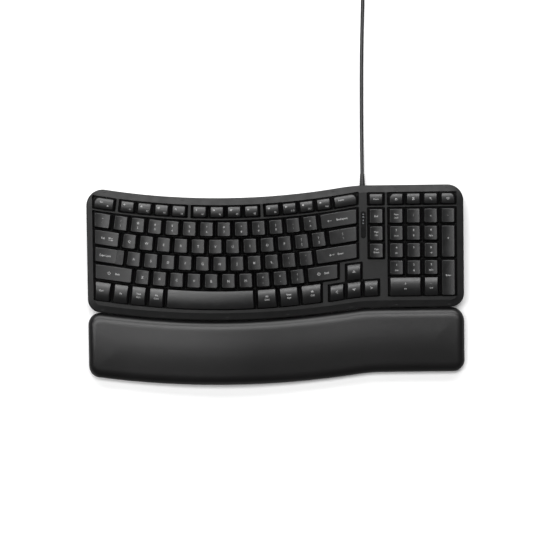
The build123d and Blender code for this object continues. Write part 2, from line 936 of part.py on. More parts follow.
def key_frame(keys, bar):
    """The frame: a plate with a square sleeve for each plunger, on a rim and small legs."""
    outline = stack_outline()
    frame = deck_prism(outline, frame_level, frame_top_level)
    rim = outline - offset(case_outline(), -case_wall - stack_margin - frame_rim)
    hole_side = plunger_side + 2 * slide_clearance
    sleeve_side = hole_side + 2 * sleeve_wall
    sleeves, holes, legs = [], [], []
    for key in keys:
        for place in guide_places(key):
            spot = key.place(frame_level) * Location((*place, 0))
            rise = sleeve_top_level - frame_level
            sleeves.append(spot * Box(sleeve_side, sleeve_side, rise, align=lifted))
            holes.append(spot * Box(hole_side, hole_side, rise, align=lifted))
        if key.width < leg_key and not key.crown and not key.plumb[0]:
            legs.append(key.corners(0, 0, 0)[0])
    feet = [deck_prism(rim, dome_level, frame_level)]
    feet += upright_cylinders(legs, frame_leg / 2, dome_level, frame_level)
    length, depth = hook_size()
    opening = Box(length + 2 * hook_clearance, depth + 2 * hook_clearance, rise, align=lifted)
    holes += [spot * opening for spot in hook_places(bar, frame_level)]
    frame = frame + sleeves + feet - holes
    return on_deck(frame + frame_clips(bar))


def stabiliser_wire(bar):
    """A bent wire: a long leg along the frame, two arms, and two ends in the cap's hooks."""
    rise, run = key_travel, sqrt(wire_arm**2 - key_travel**2)
    low = wire_diameter / 2 + seat_gap
    back, ahead = wire_back, wire_back - run
    inner = wire_half_span - wire_end
    points = [
        (-inner, ahead, low + rise),
        (-wire_half_span, ahead, low + rise),
        (-wire_half_span, back, low),
        (wire_half_span, back, low),
        (wire_half_span, ahead, low + rise),
        (inner, ahead, low + rise),
    ]
    path = FilletPolyline(*points, radius=wire_bend)
    ring = Plane(path @ 0, z_dir=path % 0) * Circle(wire_diameter / 2)
    return on_deck(bar.place(frame_top_level) * sweep(ring, path=path))


def hook_size():
    """The length of a hook along the space bar, and its depth across it."""
    slot = wire_diameter + 2 * wire_clearance
    return wire_end - wire_diameter, slot + hook_slot + 2 * wire_clip_wall


def hook_places(bar, level):
    """Where the two hooks stand round the wire's ends."""
    run = sqrt(wire_arm**2 - key_travel**2)
    reach = wire_half_span - wire_end
    return [bar.place(level) * Location((side * reach, wire_back - run, 0)) for side in (-1, 1)]


def bar_hooks(bar):
    """The two hooks under the space bar that take the ends of the wire."""
    centre = frame_top_level + wire_diameter / 2 + seat_gap + key_travel
    slot = wire_diameter + 2 * wire_clearance
    height = bar.roof_level + cap_roof / 2 - centre + slot / 2 + wire_clip_wall
    hooks = []
    for spot in hook_places(bar, centre):
        block = Box(*hook_size(), height, align=lifted)
        gap = Box(wire_end * 2, slot + hook_slot, slot)
        hooks.append(spot * (Location((0, 0, -slot / 2 - wire_clip_wall)) * block - gap))
    return hooks


def slot_solid(x, y, length, width, low, high):
    sketch = Location((x, y, low)) * SlotOverall(length, width)
    return extrude(sketch, high - low)


def tongue_places():
    """Where the palm rest's tongues enter the case: x, and y of the case's front edge."""
    places = []
    for share in tongue_shares:
        x = share * case_width
        joined = x > bow_x + bow_reach(front_sag, front_radius)
        places.append((x, front_y if joined else bow_y(x, front_y - front_sag, front_radius)))
    return places


def case_pad_places():
    x = pad_x_share * case_width
    rear, front = foot_y - foot_length - pad_edge, front_y + tongue_reach + pad_edge
    return [(-x, rear), (x, rear), (-x, front), (x, front)]


def palm_pad_places():
    low = -overall_depth / 2 + palm_sag
    x = pad_x_share * case_width
    return [(-x, low + pad_edge), (bow_x, low - palm_sag + pad_edge), (x, low + pad_edge)]


def below_plate():
    """Everything under the steel plate."""
    slab = Box(case_width, case_width, tall, align=(Align.CENTER, Align.CENTER, Align.MAX))
    return on_deck(slab)


def foot_pockets(grow=0):
    """The pockets that the tilt feet fold into; grow gives them walls and a roof."""
    side, front = pocket_gap + grow, foot_length + pocket_gap + grow
    back = foot_thickness / 2 + pocket_gap + grow
    height = foot_thickness + pocket_gap + (pocket_roof if grow else overrun)
    low = bottom_z if grow else bottom_z - overrun
    box = Box(foot_width + 2 * side, front + back, height, align=(Align.CENTER, Align.MIN, Align.MIN))
    return [Location((s * foot_x, foot_y - front, low)) * box for s in (-1, 1)]


def pivot_z():
    return bottom_z + pivot_clearance + foot_thickness / 2


def tongue_boxes(grow, low, high):
    """Boxes round the tongues of the palm rest, grown on every side."""
    width, reach = tongue_width + 2 * grow, tongue_reach + grow
    sill = palm_gap + overrun
    boxes = []
    for x, y in tongue_places():
        box = Box(width, reach + sill, high - low, align=(Align.CENTER, Align.MIN, Align.MIN))
        boxes.append(Location((x, y - sill, low)) * box)
    return boxes


def bottom_case():
    """The tray of the case: floor, lip, ribs, screw bosses and pockets."""
    outline = case_outline()
    tray = extrude(Location((0, 0, bottom_z)) * outline, split_z - bottom_z)
    lowest = [edge for edge in tray.edges() if edge.bounding_box().max.Z < bottom_z + base_chamfer]
    tray = chamfer(lowest, base_chamfer)
    room = Location((0, 0, floor_top_z)) * offset(outline, -case_wall)
    lip = offset(outline, -case_wall - lip_clearance)
    lip -= offset(outline, -case_wall - lip_clearance - lip_width)
    ribs = []
    for share in rib_shares:
        rib = Box(rib_thickness, case_depth * 2, tall, align=lifted)
        ribs.append(Location((share * case_width, 0, floor_top_z)) * rib)
    inside = extrude(Location((0, 0, floor_top_z)) * offset(outline, -case_wall - lip_width), tall)
    ribs = (Part() + ribs) & inside & below_plate()
    tray -= extrude(room, tall)
    tray += extrude(Location((0, 0, floor_top_z)) * lip, split_z + lip_rise - floor_top_z)
    tray -= upright_cylinders(post_places(), post_diameter / 2 + lip_clearance, boss_top_z, tall)
    tray += ribs
    tray += upright_cylinders(post_places(), boss_diameter / 2, floor_top_z, boss_top_z)
    tray += upright_cylinders(board_posts(), board_post_diameter / 2, floor_top_z, board_z)
    pocket_top = bottom_z + tongue_thickness + tongue_clearance
    tray += [box & inside for box in tongue_boxes(tongue_clearance + pocket_wall, bottom_z, boss_top_z)]
    tray += foot_pockets(pocket_wall)
    tray -= tongue_boxes(tongue_clearance, 0, pocket_top)
    tray -= catch_boxes(tongue_clearance, pocket_top, tall)
    tray -= foot_pockets()
    bore_length = foot_width + 2 * (pocket_gap + pivot_reach) + seat_gap
    bore = Cylinder(pivot_radius + pivot_clearance, bore_length, rotation=(0, 90, 0))
    tray -= [Location((side * foot_x, foot_y, pivot_z())) * bore for side in (-1, 1)]
    head = screw_head / 2 + screw_clearance * 2
    tray -= upright_cylinders(post_places(), head, 0, screw_head_z + screw_head_height)
    tray -= upright_cylinders(post_places(), screw_shank / 2 + screw_clearance, 0, tall)
    tray -= [slot_solid(x, y, pad_length, pad_width, 0, bottom_z + pad_recess) for x, y in case_pad_places()]
    return tray - relief_hole()


def screw(x, y):
    """A screw with a flat round head, head down, with a cross slot."""
    head = Cylinder(screw_head / 2, screw_head_height, align=lifted)
    shank = Cylinder(screw_shank / 2, screw_length + screw_head_height, align=lifted)
    slot = Box(screw_head * screw_slot_share, screw_slot / 2, screw_slot)
    turned = Box(screw_slot / 2, screw_head * screw_slot_share, screw_slot)
    return Location((x, y, screw_head_z)) * (head + shank - slot - turned)


def tilt_foot(side):
    """A folding foot: a leaf with a round hinge end, two pivots and a core for its tip."""
    leaf_length = foot_length - foot_tip_length
    leaf = Box(foot_width, leaf_length, foot_thickness, align=(Align.CENTER, Align.MAX, Align.CENTER))
    knuckle = Cylinder(foot_thickness / 2, foot_width, rotation=(0, 90, 0))
    pivots = Cylinder(pivot_radius, foot_width + 2 * (pocket_gap + pivot_reach), rotation=(0, 90, 0))
    core_side = foot_width - 2 * foot_tip_wall
    core_height = foot_thickness - 2 * foot_tip_wall
    core = Box(core_side, foot_tip_length - foot_tip_wall, core_height,
               align=(Align.CENTER, Align.MAX, Align.CENTER))
    foot = leaf + knuckle + pivots + Location((0, -leaf_length, 0)) * core
    return Location((side * foot_x, foot_y, pivot_z())) * foot


def foot_tip(side):
    """The rubber tip over the foot's core."""
    start = foot_y - foot_length + foot_tip_length
    tip = Box(foot_width, foot_tip_length, foot_thickness, align=(Align.CENTER, Align.MAX, Align.CENTER))
    tip = Location((side * foot_x, start, pivot_z())) * tip
    return tip - tilt_foot(side)


def board_posts():
    inset = board_post_diameter
    x, y = board_width / 2 - inset, board_depth / 2 - inset
    return [(board_x + i * x, board_y + j * y) for i in (-1, 1) for j in (-1, 1)]


def controller_board():
    """The controller board with its chip, the membrane's socket and the cable's socket."""
    board = Box(board_width, board_depth, board_thickness, align=lifted)
    top = Location((0, 0, board_thickness))
    chip = top * Box(chip_side, chip_side, chip_height, align=lifted)
    tail_socket = Location((board_width / 4, 0, board_thickness)) * Box(
        socket_length, socket_depth, socket_height, align=lifted)
    lead_socket = Location((-board_width / 3, 0, board_thickness)) * Box(
        socket_depth * 2, socket_depth * 2, socket_height, align=lifted)
    return Location((board_x, board_y, board_z)) * (board + chip + tail_socket + lead_socket)


def palm_outline():
    rear = (front_y - palm_gap, front_sag, front_radius, palm_rear_corner)
    front = (front_y - palm_gap - palm_depth, palm_sag, palm_radius, palm_front_corner)
    return bowed_outline(palm_width, rear, front)


def catch_boxes(grow, low, high):
    """The catches on the tongues, grown on every side."""
    boxes = []
    for x, y in tongue_places():
        box = Box(catch_length + 2 * grow, catch_width + 2 * grow, high - low, align=lifted)
        boxes.append(Location((x, y + tongue_reach - catch_width, low)) * box)
    return boxes


def palm_tray():
    """The shallow tray under the palm rest, with tongues that snap into the case."""
    outline = palm_outline()
    tray = extrude(Location((0, 0, bottom_z)) * outline, palm_tray_z - bottom_z)
    lowest = [edge for edge in tray.edges() if edge.bounding_box().max.Z < bottom_z + base_chamfer / 2]
    tray = chamfer(lowest, base_chamfer / 2)
    tray -= extrude(Location((0, 0, floor_top_z)) * offset(outline, -palm_tray_wall), tall)
    tray -= [slot_solid(x, y, pad_length, pad_width, 0, bottom_z + pad_recess) for x, y in palm_pad_places()]
    top = bottom_z + tongue_thickness
    tray += tongue_boxes(0, bottom_z, top)
    return tray + catch_boxes(0, top, top + catch_height)


def palm_surface(drop):
    """The palm rest's top: lower in front, crowned, and following the wave a little."""
    grid = []
    rear_low = front_y - palm_gap - front_sag
    half = palm_width / 2 + overrun
    for step in range(-palm_steps, palm_steps + 1):
        x = half * step / palm_steps
        bowed = bow_y(x, rear_low, front_radius)
        rear = min(front_y, bowed) if x > bow_x else bowed
        line = []
        for along in palm_depth_shares:
            y = rear + palm_gap - along * (palm_depth + palm_gap)
            crown = palm_crown * (1 - (2 * along - 1) ** 2)
            fall = (palm_front_z - palm_rear_z) * along
            z = palm_rear_z + fall + crown + palm_wave_share * wave(x) - drop
            line.append(Vector(x, y, z))
        grid.append(line)
    return extrude(Face.make_surface_from_array_of_points(grid), -tall, dir=(0, 0, 1))


def palm_form(inset):
    """The padded form of the palm rest, inset from the outside of its cover."""
    outline = offset(palm_outline(), -inset) if inset else palm_outline()
    form = extrude(Location((0, 0, palm_tray_z)) * outline, tall) & palm_surface(inset)
    form = fillet(upper_edges(form), palm_roll - inset)
    return form


def palm_cover():
    """The cover, drawn in a little where it meets the tray."""
    outer = palm_form(0)
    lowest = [edge for edge in outer.edges() if edge.bounding_box().max.Z < palm_tray_z + palm_tuck / 2]
    return chamfer(lowest, palm_tuck) - palm_form(cover_thickness)


def palm_foam():
    inside = offset(palm_outline(), -palm_tray_wall - foam_clearance)
    low = extrude(Location((0, 0, floor_top_z)) * inside, palm_tray_z - floor_top_z)
    return palm_form(cover_thickness + foam_clearance) + low


def strain_relief():
    """The tapered sleeve round the cable, with a flange that sits inside the wall."""
    grip = case_wall + 2 * seat_gap
    taper = Cone(relief_diameter / 2, relief_tip_diameter / 2, relief_length, align=lifted)
    neck = Cylinder(relief_diameter / 2, grip, align=(Align.CENTER, Align.CENTER, Align.MAX))
    flange = Cylinder(relief_flange_diameter / 2, relief_flange_thickness,
                      align=(Align.CENTER, Align.CENTER, Align.MAX))
    relief = taper + neck + Location((0, 0, -grip)) * flange
    return Location((relief_x, rear_y, split_z), (-90, 0, 0)) * relief


def arc_radii(points):
    """The largest arc that the runs beside each corner of a route leave room for."""
    corners = [Vector(*point) for point in points]
    radii = []
    for before, corner, after in zip(corners, corners[1:], corners[2:]):
        first, second = corner - before, after - corner
        half_turn = radians(first.get_angle(second)) / 2
        radii.append(run_share * min(first.length, second.length) / tan(half_turn))
    return radii


def tube(path):
    ring = Plane(path @ 0, z_dir=path % 0) * Circle(cable_diameter / 2)
    return sweep(ring, path=path)


def routed(points, name):
    """A tube along straight runs joined by tangent arcs."""
    radii = arc_radii(points)
    path = FilletPolyline(*points, radius=radii)
    solid = tube(path)
    ratio = solid.volume / (path.length * pi * (cable_diameter / 2) ** 2)
    print(f"{name}: {path.length:.1f} long, volume over section times length {ratio:.4f}")
    print("  radii", [round(radius) for radius in radii])
    return solid


def coil_path():
    """Flat half turns winding in, a half turn that climbs a layer, and half turns back out."""
    (x, y, z) = cable_route[-1]
    top_z = tail_route[0][2]
    start = Vector(x, y + cable_diameter, z)
    edges = [Line((x, y, z), start)]
    radius, side, here = coil_radius, -1, start
    for turn in range(coil_half_turns * 2):
        level = top_z if turn >= coil_half_turns else z
        there = Vector(here.X + side * 2 * radius, start.Y, level)
        middle = (here + there) / 2 - Vector(0, side * (there - here).length / 2, 0)
        edges.append(ThreePointArc(here, middle, there))
        here, side = there, -side
        radius += coil_step / 2 if turn >= coil_half_turns else -coil_step / 2
    centre = Vector(here.X - radius, start.Y, top_z)
    slant = Vector(cos(pi / 4), sin(pi / 4), 0) * radius
    end = centre + Vector(0, radius, 0)
    edges.append(ThreePointArc(here, centre + slant, end))
    edges.append(Line(end, end - Vector(cable_diameter, 0, 0)))
    return Wire(edges)


def coil_gap(path):
    """The least gap between turns, measured on points a diameter apart or further."""
    count = int(path.length / (cable_diameter / 4))
    points = [path @ (step / count) for step in range(count + 1)]
    skip = int(count * 2 * pi * cable_diameter / path.length)
    gaps = []
    for index, point in enumerate(points):
        gaps += [(point - other).length for other in points[index + skip:]]
    return min(gaps) - cable_diameter


def cable_coil():
    """The part of the cable that is put away: two layers of turns."""
    path = coil_path()
    solid = tube(path)
    ratio = solid.volume / (path.length * pi * (cable_diameter / 2) ** 2)
    print(f"coil: {path.length:.1f} long, volume over section times length {ratio:.4f}")
    print(f"  least gap between turns {coil_gap(path):.2f}")
    return solid


def coil_tie():
    """The strap round the coil's turns, on its left side."""
    x, y, z = cable_route[-1]
    centre_x, centre_y = x - coil_radius, y + cable_diameter
    half_cable = cable_diameter / 2
    outer = coil_radius + half_cable + tie_clearance
    inner = coil_radius - coil_half_turns * coil_step / 2 - half_cable - tie_inner_gap
    low, high = z - half_cable - tie_clearance / 2, tail_route[0][2] + half_cable + tie_clearance
    wide, high_room = outer - inner, high - low
    room = RectangleRounded(wide, high_room, half_cable)
    wall = 2 * tie_thickness
    strap = RectangleRounded(wide + wall, high_room + wall, half_cable + tie_thickness)
    band = extrude(Plane.XZ * (strap - room), tie_width / 2, both=True)
    return Location((centre_x - (outer + inner) / 2, centre_y, (low + high) / 2)) * band


def plug_place():
    """The plug's frame: its axis runs on from the cable's far end."""
    end, before = Vector(*tail_route[-1]), Vector(*tail_route[-2])
    return Plane(end, x_dir=(0, 0, 1), z_dir=end - before).location


def plug_body():
    """The moulded grip of the plug, with its tapered neck round the cable."""
    neck = Cone(cable_diameter / 2 + plug_step, plug_neck_diameter / 2, plug_neck_length, align=lifted)
    grip = Box(plug_height, plug_width, plug_length, align=lifted)
    grip = fillet(grip.edges().filter_by(Axis.Z), plug_round)
    grip = chamfer(grip.edges().group_by(Axis.Z)[0], plug_step)
    body = neck + Location((0, 0, plug_neck_length)) * grip
    socket = Box(shell_height, shell_width, shell_length / 2, align=lifted)
    start = plug_neck_length + plug_length - shell_length / 2
    return plug_place() * (body - Location((0, 0, start)) * socket)


def plug_shell():
    """The metal shell, open at its mouth, with its two square windows."""
    full = shell_length * shell_full_share
    shell = Box(shell_height, shell_width, full, align=lifted)
    room = Box(shell_height - 2 * shell_wall, shell_width - 2 * shell_wall, full, align=lifted)
    shell -= Location((0, 0, shell_wall)) * room
    for side in (-1, 1):
        window = Box(shell_height, tongue_bar_height, tongue_bar_height)
        window_z = full - shell_length / 2
        shell -= Location((shell_height / 2, side * shell_width / 4, window_z)) * window
    return plug_place() * Location((0, 0, plug_neck_length + plug_length - shell_length / 2)) * shell


def plug_tongue():
    """The insulating bar inside the shell that carries the contacts."""
    length = shell_length * shell_full_share - shell_wall - plug_step
    bar = Box(tongue_bar_height, shell_width - 2 * shell_wall, length, align=lifted)
    lift = shell_height / 2 - shell_wall - tongue_bar_height / 2
    start = plug_neck_length + plug_length - shell_length / 2 + shell_wall
    return plug_place() * Location((-lift, 0, start)) * bar


def case_screws():
    return [screw(x, y) for x, y in post_places()]


def pads(places):
    """The rubber pads, seated in their recesses with the same clearance all round."""
    length, width = pad_length - lip_clearance, pad_width - lip_clearance
    return [slot_solid(x, y, length, width, 0, bottom_z + pad_recess) for x, y in places]


def key_nodes():
    """Each key node's cells, by name."""
    return {**low_row(), **typing_rows(), **thumb_row(), **arrow_keys(), **straight_block()}


def caps(keys):
    """The caps of one node; a straight cell on the flat copies the first one's cap."""
    first = keys[0]
    same = [key for key in keys if not key.bowed and not key.big_corners and key is not first]
    if first.bowed or first.big_corners:
        same = []
    made = [on_deck(cap(key)) for key in keys if key not in same]
    if same:
        model = cap(first)
        (x, y) = first.middle
        made += [on_deck(Location((key.middle[0] - x, key.middle[1] - y, 0)) * model) for key in same]
    return made


def write(name, solids):
    """Writes one node's solids."""
    solids = solids if isinstance(solids, list) else [solids]
    node = Compound(children=[piece for solid in solids for piece in solid.solids()])
    export_step(node, f"parts/{name}.step")


def main():
    os.makedirs("parts", exist_ok=True)
    keys = key_nodes()
    every_key = [key for group in keys.values() for key in group]
    bar = keys["space_bar"][0]
    for name, group in keys.items():
        write(name, caps(group))
    nodes = {
        "top_case": top_case(),
        "bottom_case": bottom_case(),
        "key_frame": key_frame(every_key, bar),
        "dome_sheet": dome_sheet(every_key),
        "contact_membrane": membrane(),
        "steel_plate": steel_plate(),
        "space_bar_wire": stabiliser_wire(bar),
        "indicator_window": indicator_window(),
        "indicator_board": indicator_board(),
        "controller_board": controller_board(),
        "case_screws": case_screws(),
        "case_pads": pads(case_pad_places() + palm_pad_places()),
        "left_tilt_foot": tilt_foot(-1),
        "right_tilt_foot": tilt_foot(1),
        "left_foot_tip": foot_tip(-1),
        "right_foot_tip": foot_tip(1),
        "palm_tray": palm_tray(),
        "palm_foam": palm_foam(),
        "palm_cover": palm_cover(),
        "strain_relief": strain_relief(),
        "cable": [routed(cable_route, "lead"), routed(tail_route, "tail")],
        "cable_coil": cable_coil(),
        "coil_tie": coil_tie(),
        "plug_body": plug_body(),
        "plug_shell": plug_shell(),
        "plug_tongue": plug_tongue(),
    }
    for name, solids in nodes.items():
        write(name, solids)


main()
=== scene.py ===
import bpy
import json
import math
import numpy as np
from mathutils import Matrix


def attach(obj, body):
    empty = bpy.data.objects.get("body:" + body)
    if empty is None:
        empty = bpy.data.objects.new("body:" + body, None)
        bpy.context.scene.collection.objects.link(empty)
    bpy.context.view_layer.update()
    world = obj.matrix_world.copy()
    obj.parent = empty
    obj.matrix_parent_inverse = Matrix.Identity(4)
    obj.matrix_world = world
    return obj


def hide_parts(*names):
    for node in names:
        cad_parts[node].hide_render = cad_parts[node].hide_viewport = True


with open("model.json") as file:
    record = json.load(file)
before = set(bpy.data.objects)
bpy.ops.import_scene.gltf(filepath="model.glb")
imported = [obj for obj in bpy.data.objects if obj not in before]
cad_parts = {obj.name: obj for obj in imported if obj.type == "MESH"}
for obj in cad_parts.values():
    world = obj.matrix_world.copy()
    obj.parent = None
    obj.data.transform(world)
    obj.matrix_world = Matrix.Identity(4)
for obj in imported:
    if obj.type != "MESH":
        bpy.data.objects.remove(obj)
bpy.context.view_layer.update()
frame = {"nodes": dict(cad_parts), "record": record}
nodes = frame["nodes"]
mm = 0.001
print("frame loaded:", len(nodes), "nodes")

# The deck: keys sit on a plane that slopes to the front, and follow one low wave.
deck = {
    "tilt": math.radians(4.0),
    "plateZ": 7.45,
    "keyLevel": 17.5,
    "topLevel": 12.5,
    "waveHeight": 4.5,
    "waveLength": 240.0,
    "bowX": -54.4,
    "rowRadius": 840.0,
    "pitch": 19.05,
    "leftX": -201.35,
    "rightX": 92.4,
}


def deckToWorld(x, y, level):
    # turns a point on the deck by its slope about the line y = 0 at key level
    c, s = math.cos(deck["tilt"]), math.sin(deck["tilt"])
    h = level - deck["keyLevel"]
    z = y * s + h * c + deck["plateZ"] + deck["keyLevel"]
    return np.stack([x + 0 * y, y * c - h * s, z], axis=-1) * mm


def waveRise(x):
    # half a cosine either side of the crest, and nothing beyond it
    part = np.clip(np.abs(x - deck["bowX"]) / (deck["waveLength"] / 2), 0, 1)
    return deck["waveHeight"] * (1 + np.cos(np.pi * part)) / 2


def waveSlope(x):
    part = (x - deck["bowX"]) / (deck["waveLength"] / 2)
    inside = np.abs(part) < 1
    return np.where(inside, -deck["waveHeight"] * np.pi * np.sin(np.pi * part) / deck["waveLength"], 0)


def meshFromArrays(name, points, faces, smooth=True):
    mesh = bpy.data.meshes.new(name)
    mesh.from_pydata(points.reshape(-1, 3).tolist(), [], faces.tolist())
    mesh.validate()
    mesh.polygons.foreach_set("use_smooth", np.full(len(mesh.polygons), smooth))
    mesh.update()
    piece = bpy.data.objects.new(name, mesh)
    bpy.context.scene.collection.objects.link(piece)
    return piece


def gridFaces(rows, columns, wrapRows=False, wrapColumns=False, start=0):
    # a quad between each four neighbouring points of a grid, row by row
    r = np.arange(rows if wrapRows else rows - 1)
    c = np.arange(columns if wrapColumns else columns - 1)
    r, c = np.meshgrid(r, c, indexing="ij")
    rn, cn = (r + 1) % rows, (c + 1) % columns
    quads = np.stack([r * columns + c, r * columns + cn, rn * columns + cn, rn * columns + c], axis=-1)
    return quads.reshape(-1, 4) + start


# Materials

def newMaterial(name):
    material = bpy.data.materials.new(name)
    material.use_nodes = True
    tree = material.node_tree
    shader = tree.nodes["Principled BSDF"]
    coords = tree.nodes.new("ShaderNodeTexCoord")
    return material, tree, shader, coords.outputs["Object"]


def noiseNode(tree, coords, scale, detail=3.0, roughness=0.5, stretch=None):
    if stretch:
        mapping = tree.nodes.new("ShaderNodeMapping")
        mapping.inputs["Scale"].default_value = stretch
        tree.links.new(coords, mapping.inputs["Vector"])
        coords = mapping.outputs["Vector"]
    noise = tree.nodes.new("ShaderNodeTexNoise")
    noise.inputs["Scale"].default_value = scale
    noise.inputs["Detail"].default_value = detail
    noise.inputs["Roughness"].default_value = roughness
    tree.links.new(coords, noise.inputs["Vector"])
    return noise.outputs["Fac"]


def rampNode(tree, source, low, high, lowColor, highColor):
    ramp = tree.nodes.new("ShaderNodeValToRGB")
    ramp.color_ramp.elements[0].position = low
    ramp.color_ramp.elements[1].position = high
    ramp.color_ramp.elements[0].color = (*lowColor, 1)
    ramp.color_ramp.elements[1].color = (*highColor, 1)
    tree.links.new(source, ramp.inputs["Fac"])
    return ramp.outputs["Color"]


def colorDrift(tree, source, shader, color, darker, lighter):
    # the base colour wanders between a darker and a lighter share of itself
    low, high = [c * darker for c in color], [c * lighter for c in color]
    tree.links.new(rampNode(tree, source, 0.3, 0.7, low, high), shader.inputs["Base Color"])


def glossDrift(tree, source, shader, low, high, rangeLow=0.3, rangeHigh=0.7):
    # the roughness wanders between two values
    ramp = rampNode(tree, source, rangeLow, rangeHigh, (low,) * 3, (high,) * 3)
    tree.links.new(ramp, shader.inputs["Roughness"])


def bumpNode(tree, shader, heights, strength, distance):
    # one bump after another, each a share of the whole strength
    before = None
    for height, share in heights:
        bump = tree.nodes.new("ShaderNodeBump")
        bump.inputs["Strength"].default_value = strength * share
        bump.inputs["Distance"].default_value = distance
        tree.links.new(height, bump.inputs["Height"])
        if before:
            tree.links.new(before, bump.inputs["Normal"])
        before = bump.outputs["Normal"]
    tree.links.new(before, shader.inputs["Normal"])


def grey(value):
    # a neutral shade with a touch of blue
    return (value, value, value * 1.03)


plastic = {"cloudScale": 38, "wearScale": 120, "coarseStep": 3, "coarseShare": 0.6, "grainStep": 0.00004}


def mouldedPlastic(name, color, spread, rough, roughSpread, grain, grainHeight, specular=0.5):
    # colour drifts over centimetres, a spark-eroded grain lies over it, and gloss varies with handling
    material, tree, shader, coords = newMaterial(name)
    cloud = noiseNode(tree, coords, plastic["cloudScale"], 4)
    colorDrift(tree, cloud, shader, color, 1 - spread, 1 + spread)
    wear = noiseNode(tree, coords, plastic["wearScale"], 3)
    glossDrift(tree, wear, shader, rough - roughSpread, rough + roughSpread, 0.35, 0.65)
    shader.inputs["Specular IOR Level"].default_value = specular
    fine = noiseNode(tree, coords, grain, 2)
    coarse = noiseNode(tree, coords, grain / plastic["coarseStep"], 2)
    bumpNode(tree, shader, [(fine, 1.0), (coarse, plastic["coarseShare"])], grainHeight, plastic["grainStep"])
    return material


leather = {
    "cloudScale": 26,
    "darker": 0.86,
    "lighter": 1.16,
    "pebbleScale": 1150,
    "pebbleRim": 0.16,
    "poreScale": 5200,
    "poreShare": 0.35,
    "creaseScale": 60,
    "creaseStretch": (0.4, 1.3, 1.0),
    "creaseShare": 0.5,
    "height": 0.22,
    "heightStep": 0.00008,
    "handledScale": 14,
    "roughSpread": 0.02,
    "specular": 0.4,
    "sheen": 0.06,
    "sheenRough": 0.45,
}


def leatherette(name, color, rough):
    # pebbles from a cell pattern, fine pores from noise, and broad soft creases
    material, tree, shader, coords = newMaterial(name)
    cloud = noiseNode(tree, coords, leather["cloudScale"], 4)
    colorDrift(tree, cloud, shader, color, leather["darker"], leather["lighter"])
    cells = tree.nodes.new("ShaderNodeTexVoronoi")
    cells.feature = "DISTANCE_TO_EDGE"
    cells.inputs["Scale"].default_value = leather["pebbleScale"]
    tree.links.new(coords, cells.inputs["Vector"])
    rim = rampNode(tree, cells.outputs["Distance"], 0.0, leather["pebbleRim"], (0, 0, 0), (1, 1, 1))
    pores = noiseNode(tree, coords, leather["poreScale"], 2)
    creases = noiseNode(tree, coords, leather["creaseScale"], 3, 0.55, stretch=leather["creaseStretch"])
    heights = [(rim, 1.0), (pores, leather["poreShare"]), (creases, leather["creaseShare"])]
    bumpNode(tree, shader, heights, leather["height"], leather["heightStep"])
    handled = noiseNode(tree, coords, leather["handledScale"], 3)
    glossDrift(tree, handled, shader, rough - leather["roughSpread"], rough + leather["roughSpread"])
    shader.inputs["Specular IOR Level"].default_value = leather["specular"]
    shader.inputs["Sheen Weight"].default_value = leather["sheen"]
    shader.inputs["Sheen Roughness"].default_value = leather["sheenRough"]
    return material


metal = {
    "scratchScale": 300,
    "darker": 0.85,
    "lighter": 1.1,
    "smoother": 0.07,
    "rougher": 0.1,
    "height": 0.12,
    "heightStep": 0.00003,
}


def brushedMetal(name, color, rough, stretch):
    # long scratches along one axis break up the gloss
    material, tree, shader, coords = newMaterial(name)
    scratches = noiseNode(tree, coords, metal["scratchScale"], 4, 0.6, stretch=stretch)
    colorDrift(tree, scratches, shader, color, metal["darker"], metal["lighter"])
    glossDrift(tree, scratches, shader, rough - metal["smoother"], rough + metal["rougher"])
    shader.inputs["Metallic"].default_value = 1.0
    bumpNode(tree, shader, [(scratches, 1.0)], metal["height"], metal["heightStep"])
    return material


board = {
    "trackScale": 260,
    "darker": 0.8,
    "trackLighter": 1.8,
    "glossScale": 200,
    "roughLow": 0.25,
    "roughHigh": 0.4,
    "height": 0.2,
    "heightStep": 0.00005,
}


def paintedBoard(name, color):
    # solder mask over a faint grid of tracks
    material, tree, shader, coords = newMaterial(name)
    tracks = tree.nodes.new("ShaderNodeTexBrick")
    tracks.inputs["Scale"].default_value = board["trackScale"]
    for socket, share in (("Color1", 1.0), ("Color2", board["darker"]), ("Mortar", board["trackLighter"])):
        tracks.inputs[socket].default_value = (*[c * share for c in color], 1)
    tree.links.new(coords, tracks.inputs["Vector"])
    tree.links.new(tracks.outputs["Color"], shader.inputs["Base Color"])
    gloss = noiseNode(tree, coords, board["glossScale"], 3)
    glossDrift(tree, gloss, shader, board["roughLow"], board["roughHigh"])
    bumpNode(tree, shader, [(tracks.outputs["Fac"], 1.0)], board["height"], board["heightStep"])
    return material


inkLook = {"coverScale": 900, "darker": 0.88, "roughLow": 0.5, "roughHigh": 0.62}


def printedInk(name, color, glow=0.0):
    # pad-printed ink: slightly uneven cover and a dry gloss
    material, tree, shader, coords = newMaterial(name)
    cover = noiseNode(tree, coords, inkLook["coverScale"], 2)
    ink = rampNode(tree, cover, 0.3, 0.6, [c * inkLook["darker"] for c in color], color)
    tree.links.new(ink, shader.inputs["Base Color"])
    glossDrift(tree, cover, shader, inkLook["roughLow"], inkLook["roughHigh"])
    if glow:
        tree.links.new(ink, shader.inputs["Emission Color"])
        shader.inputs["Emission Strength"].default_value = glow
    return material


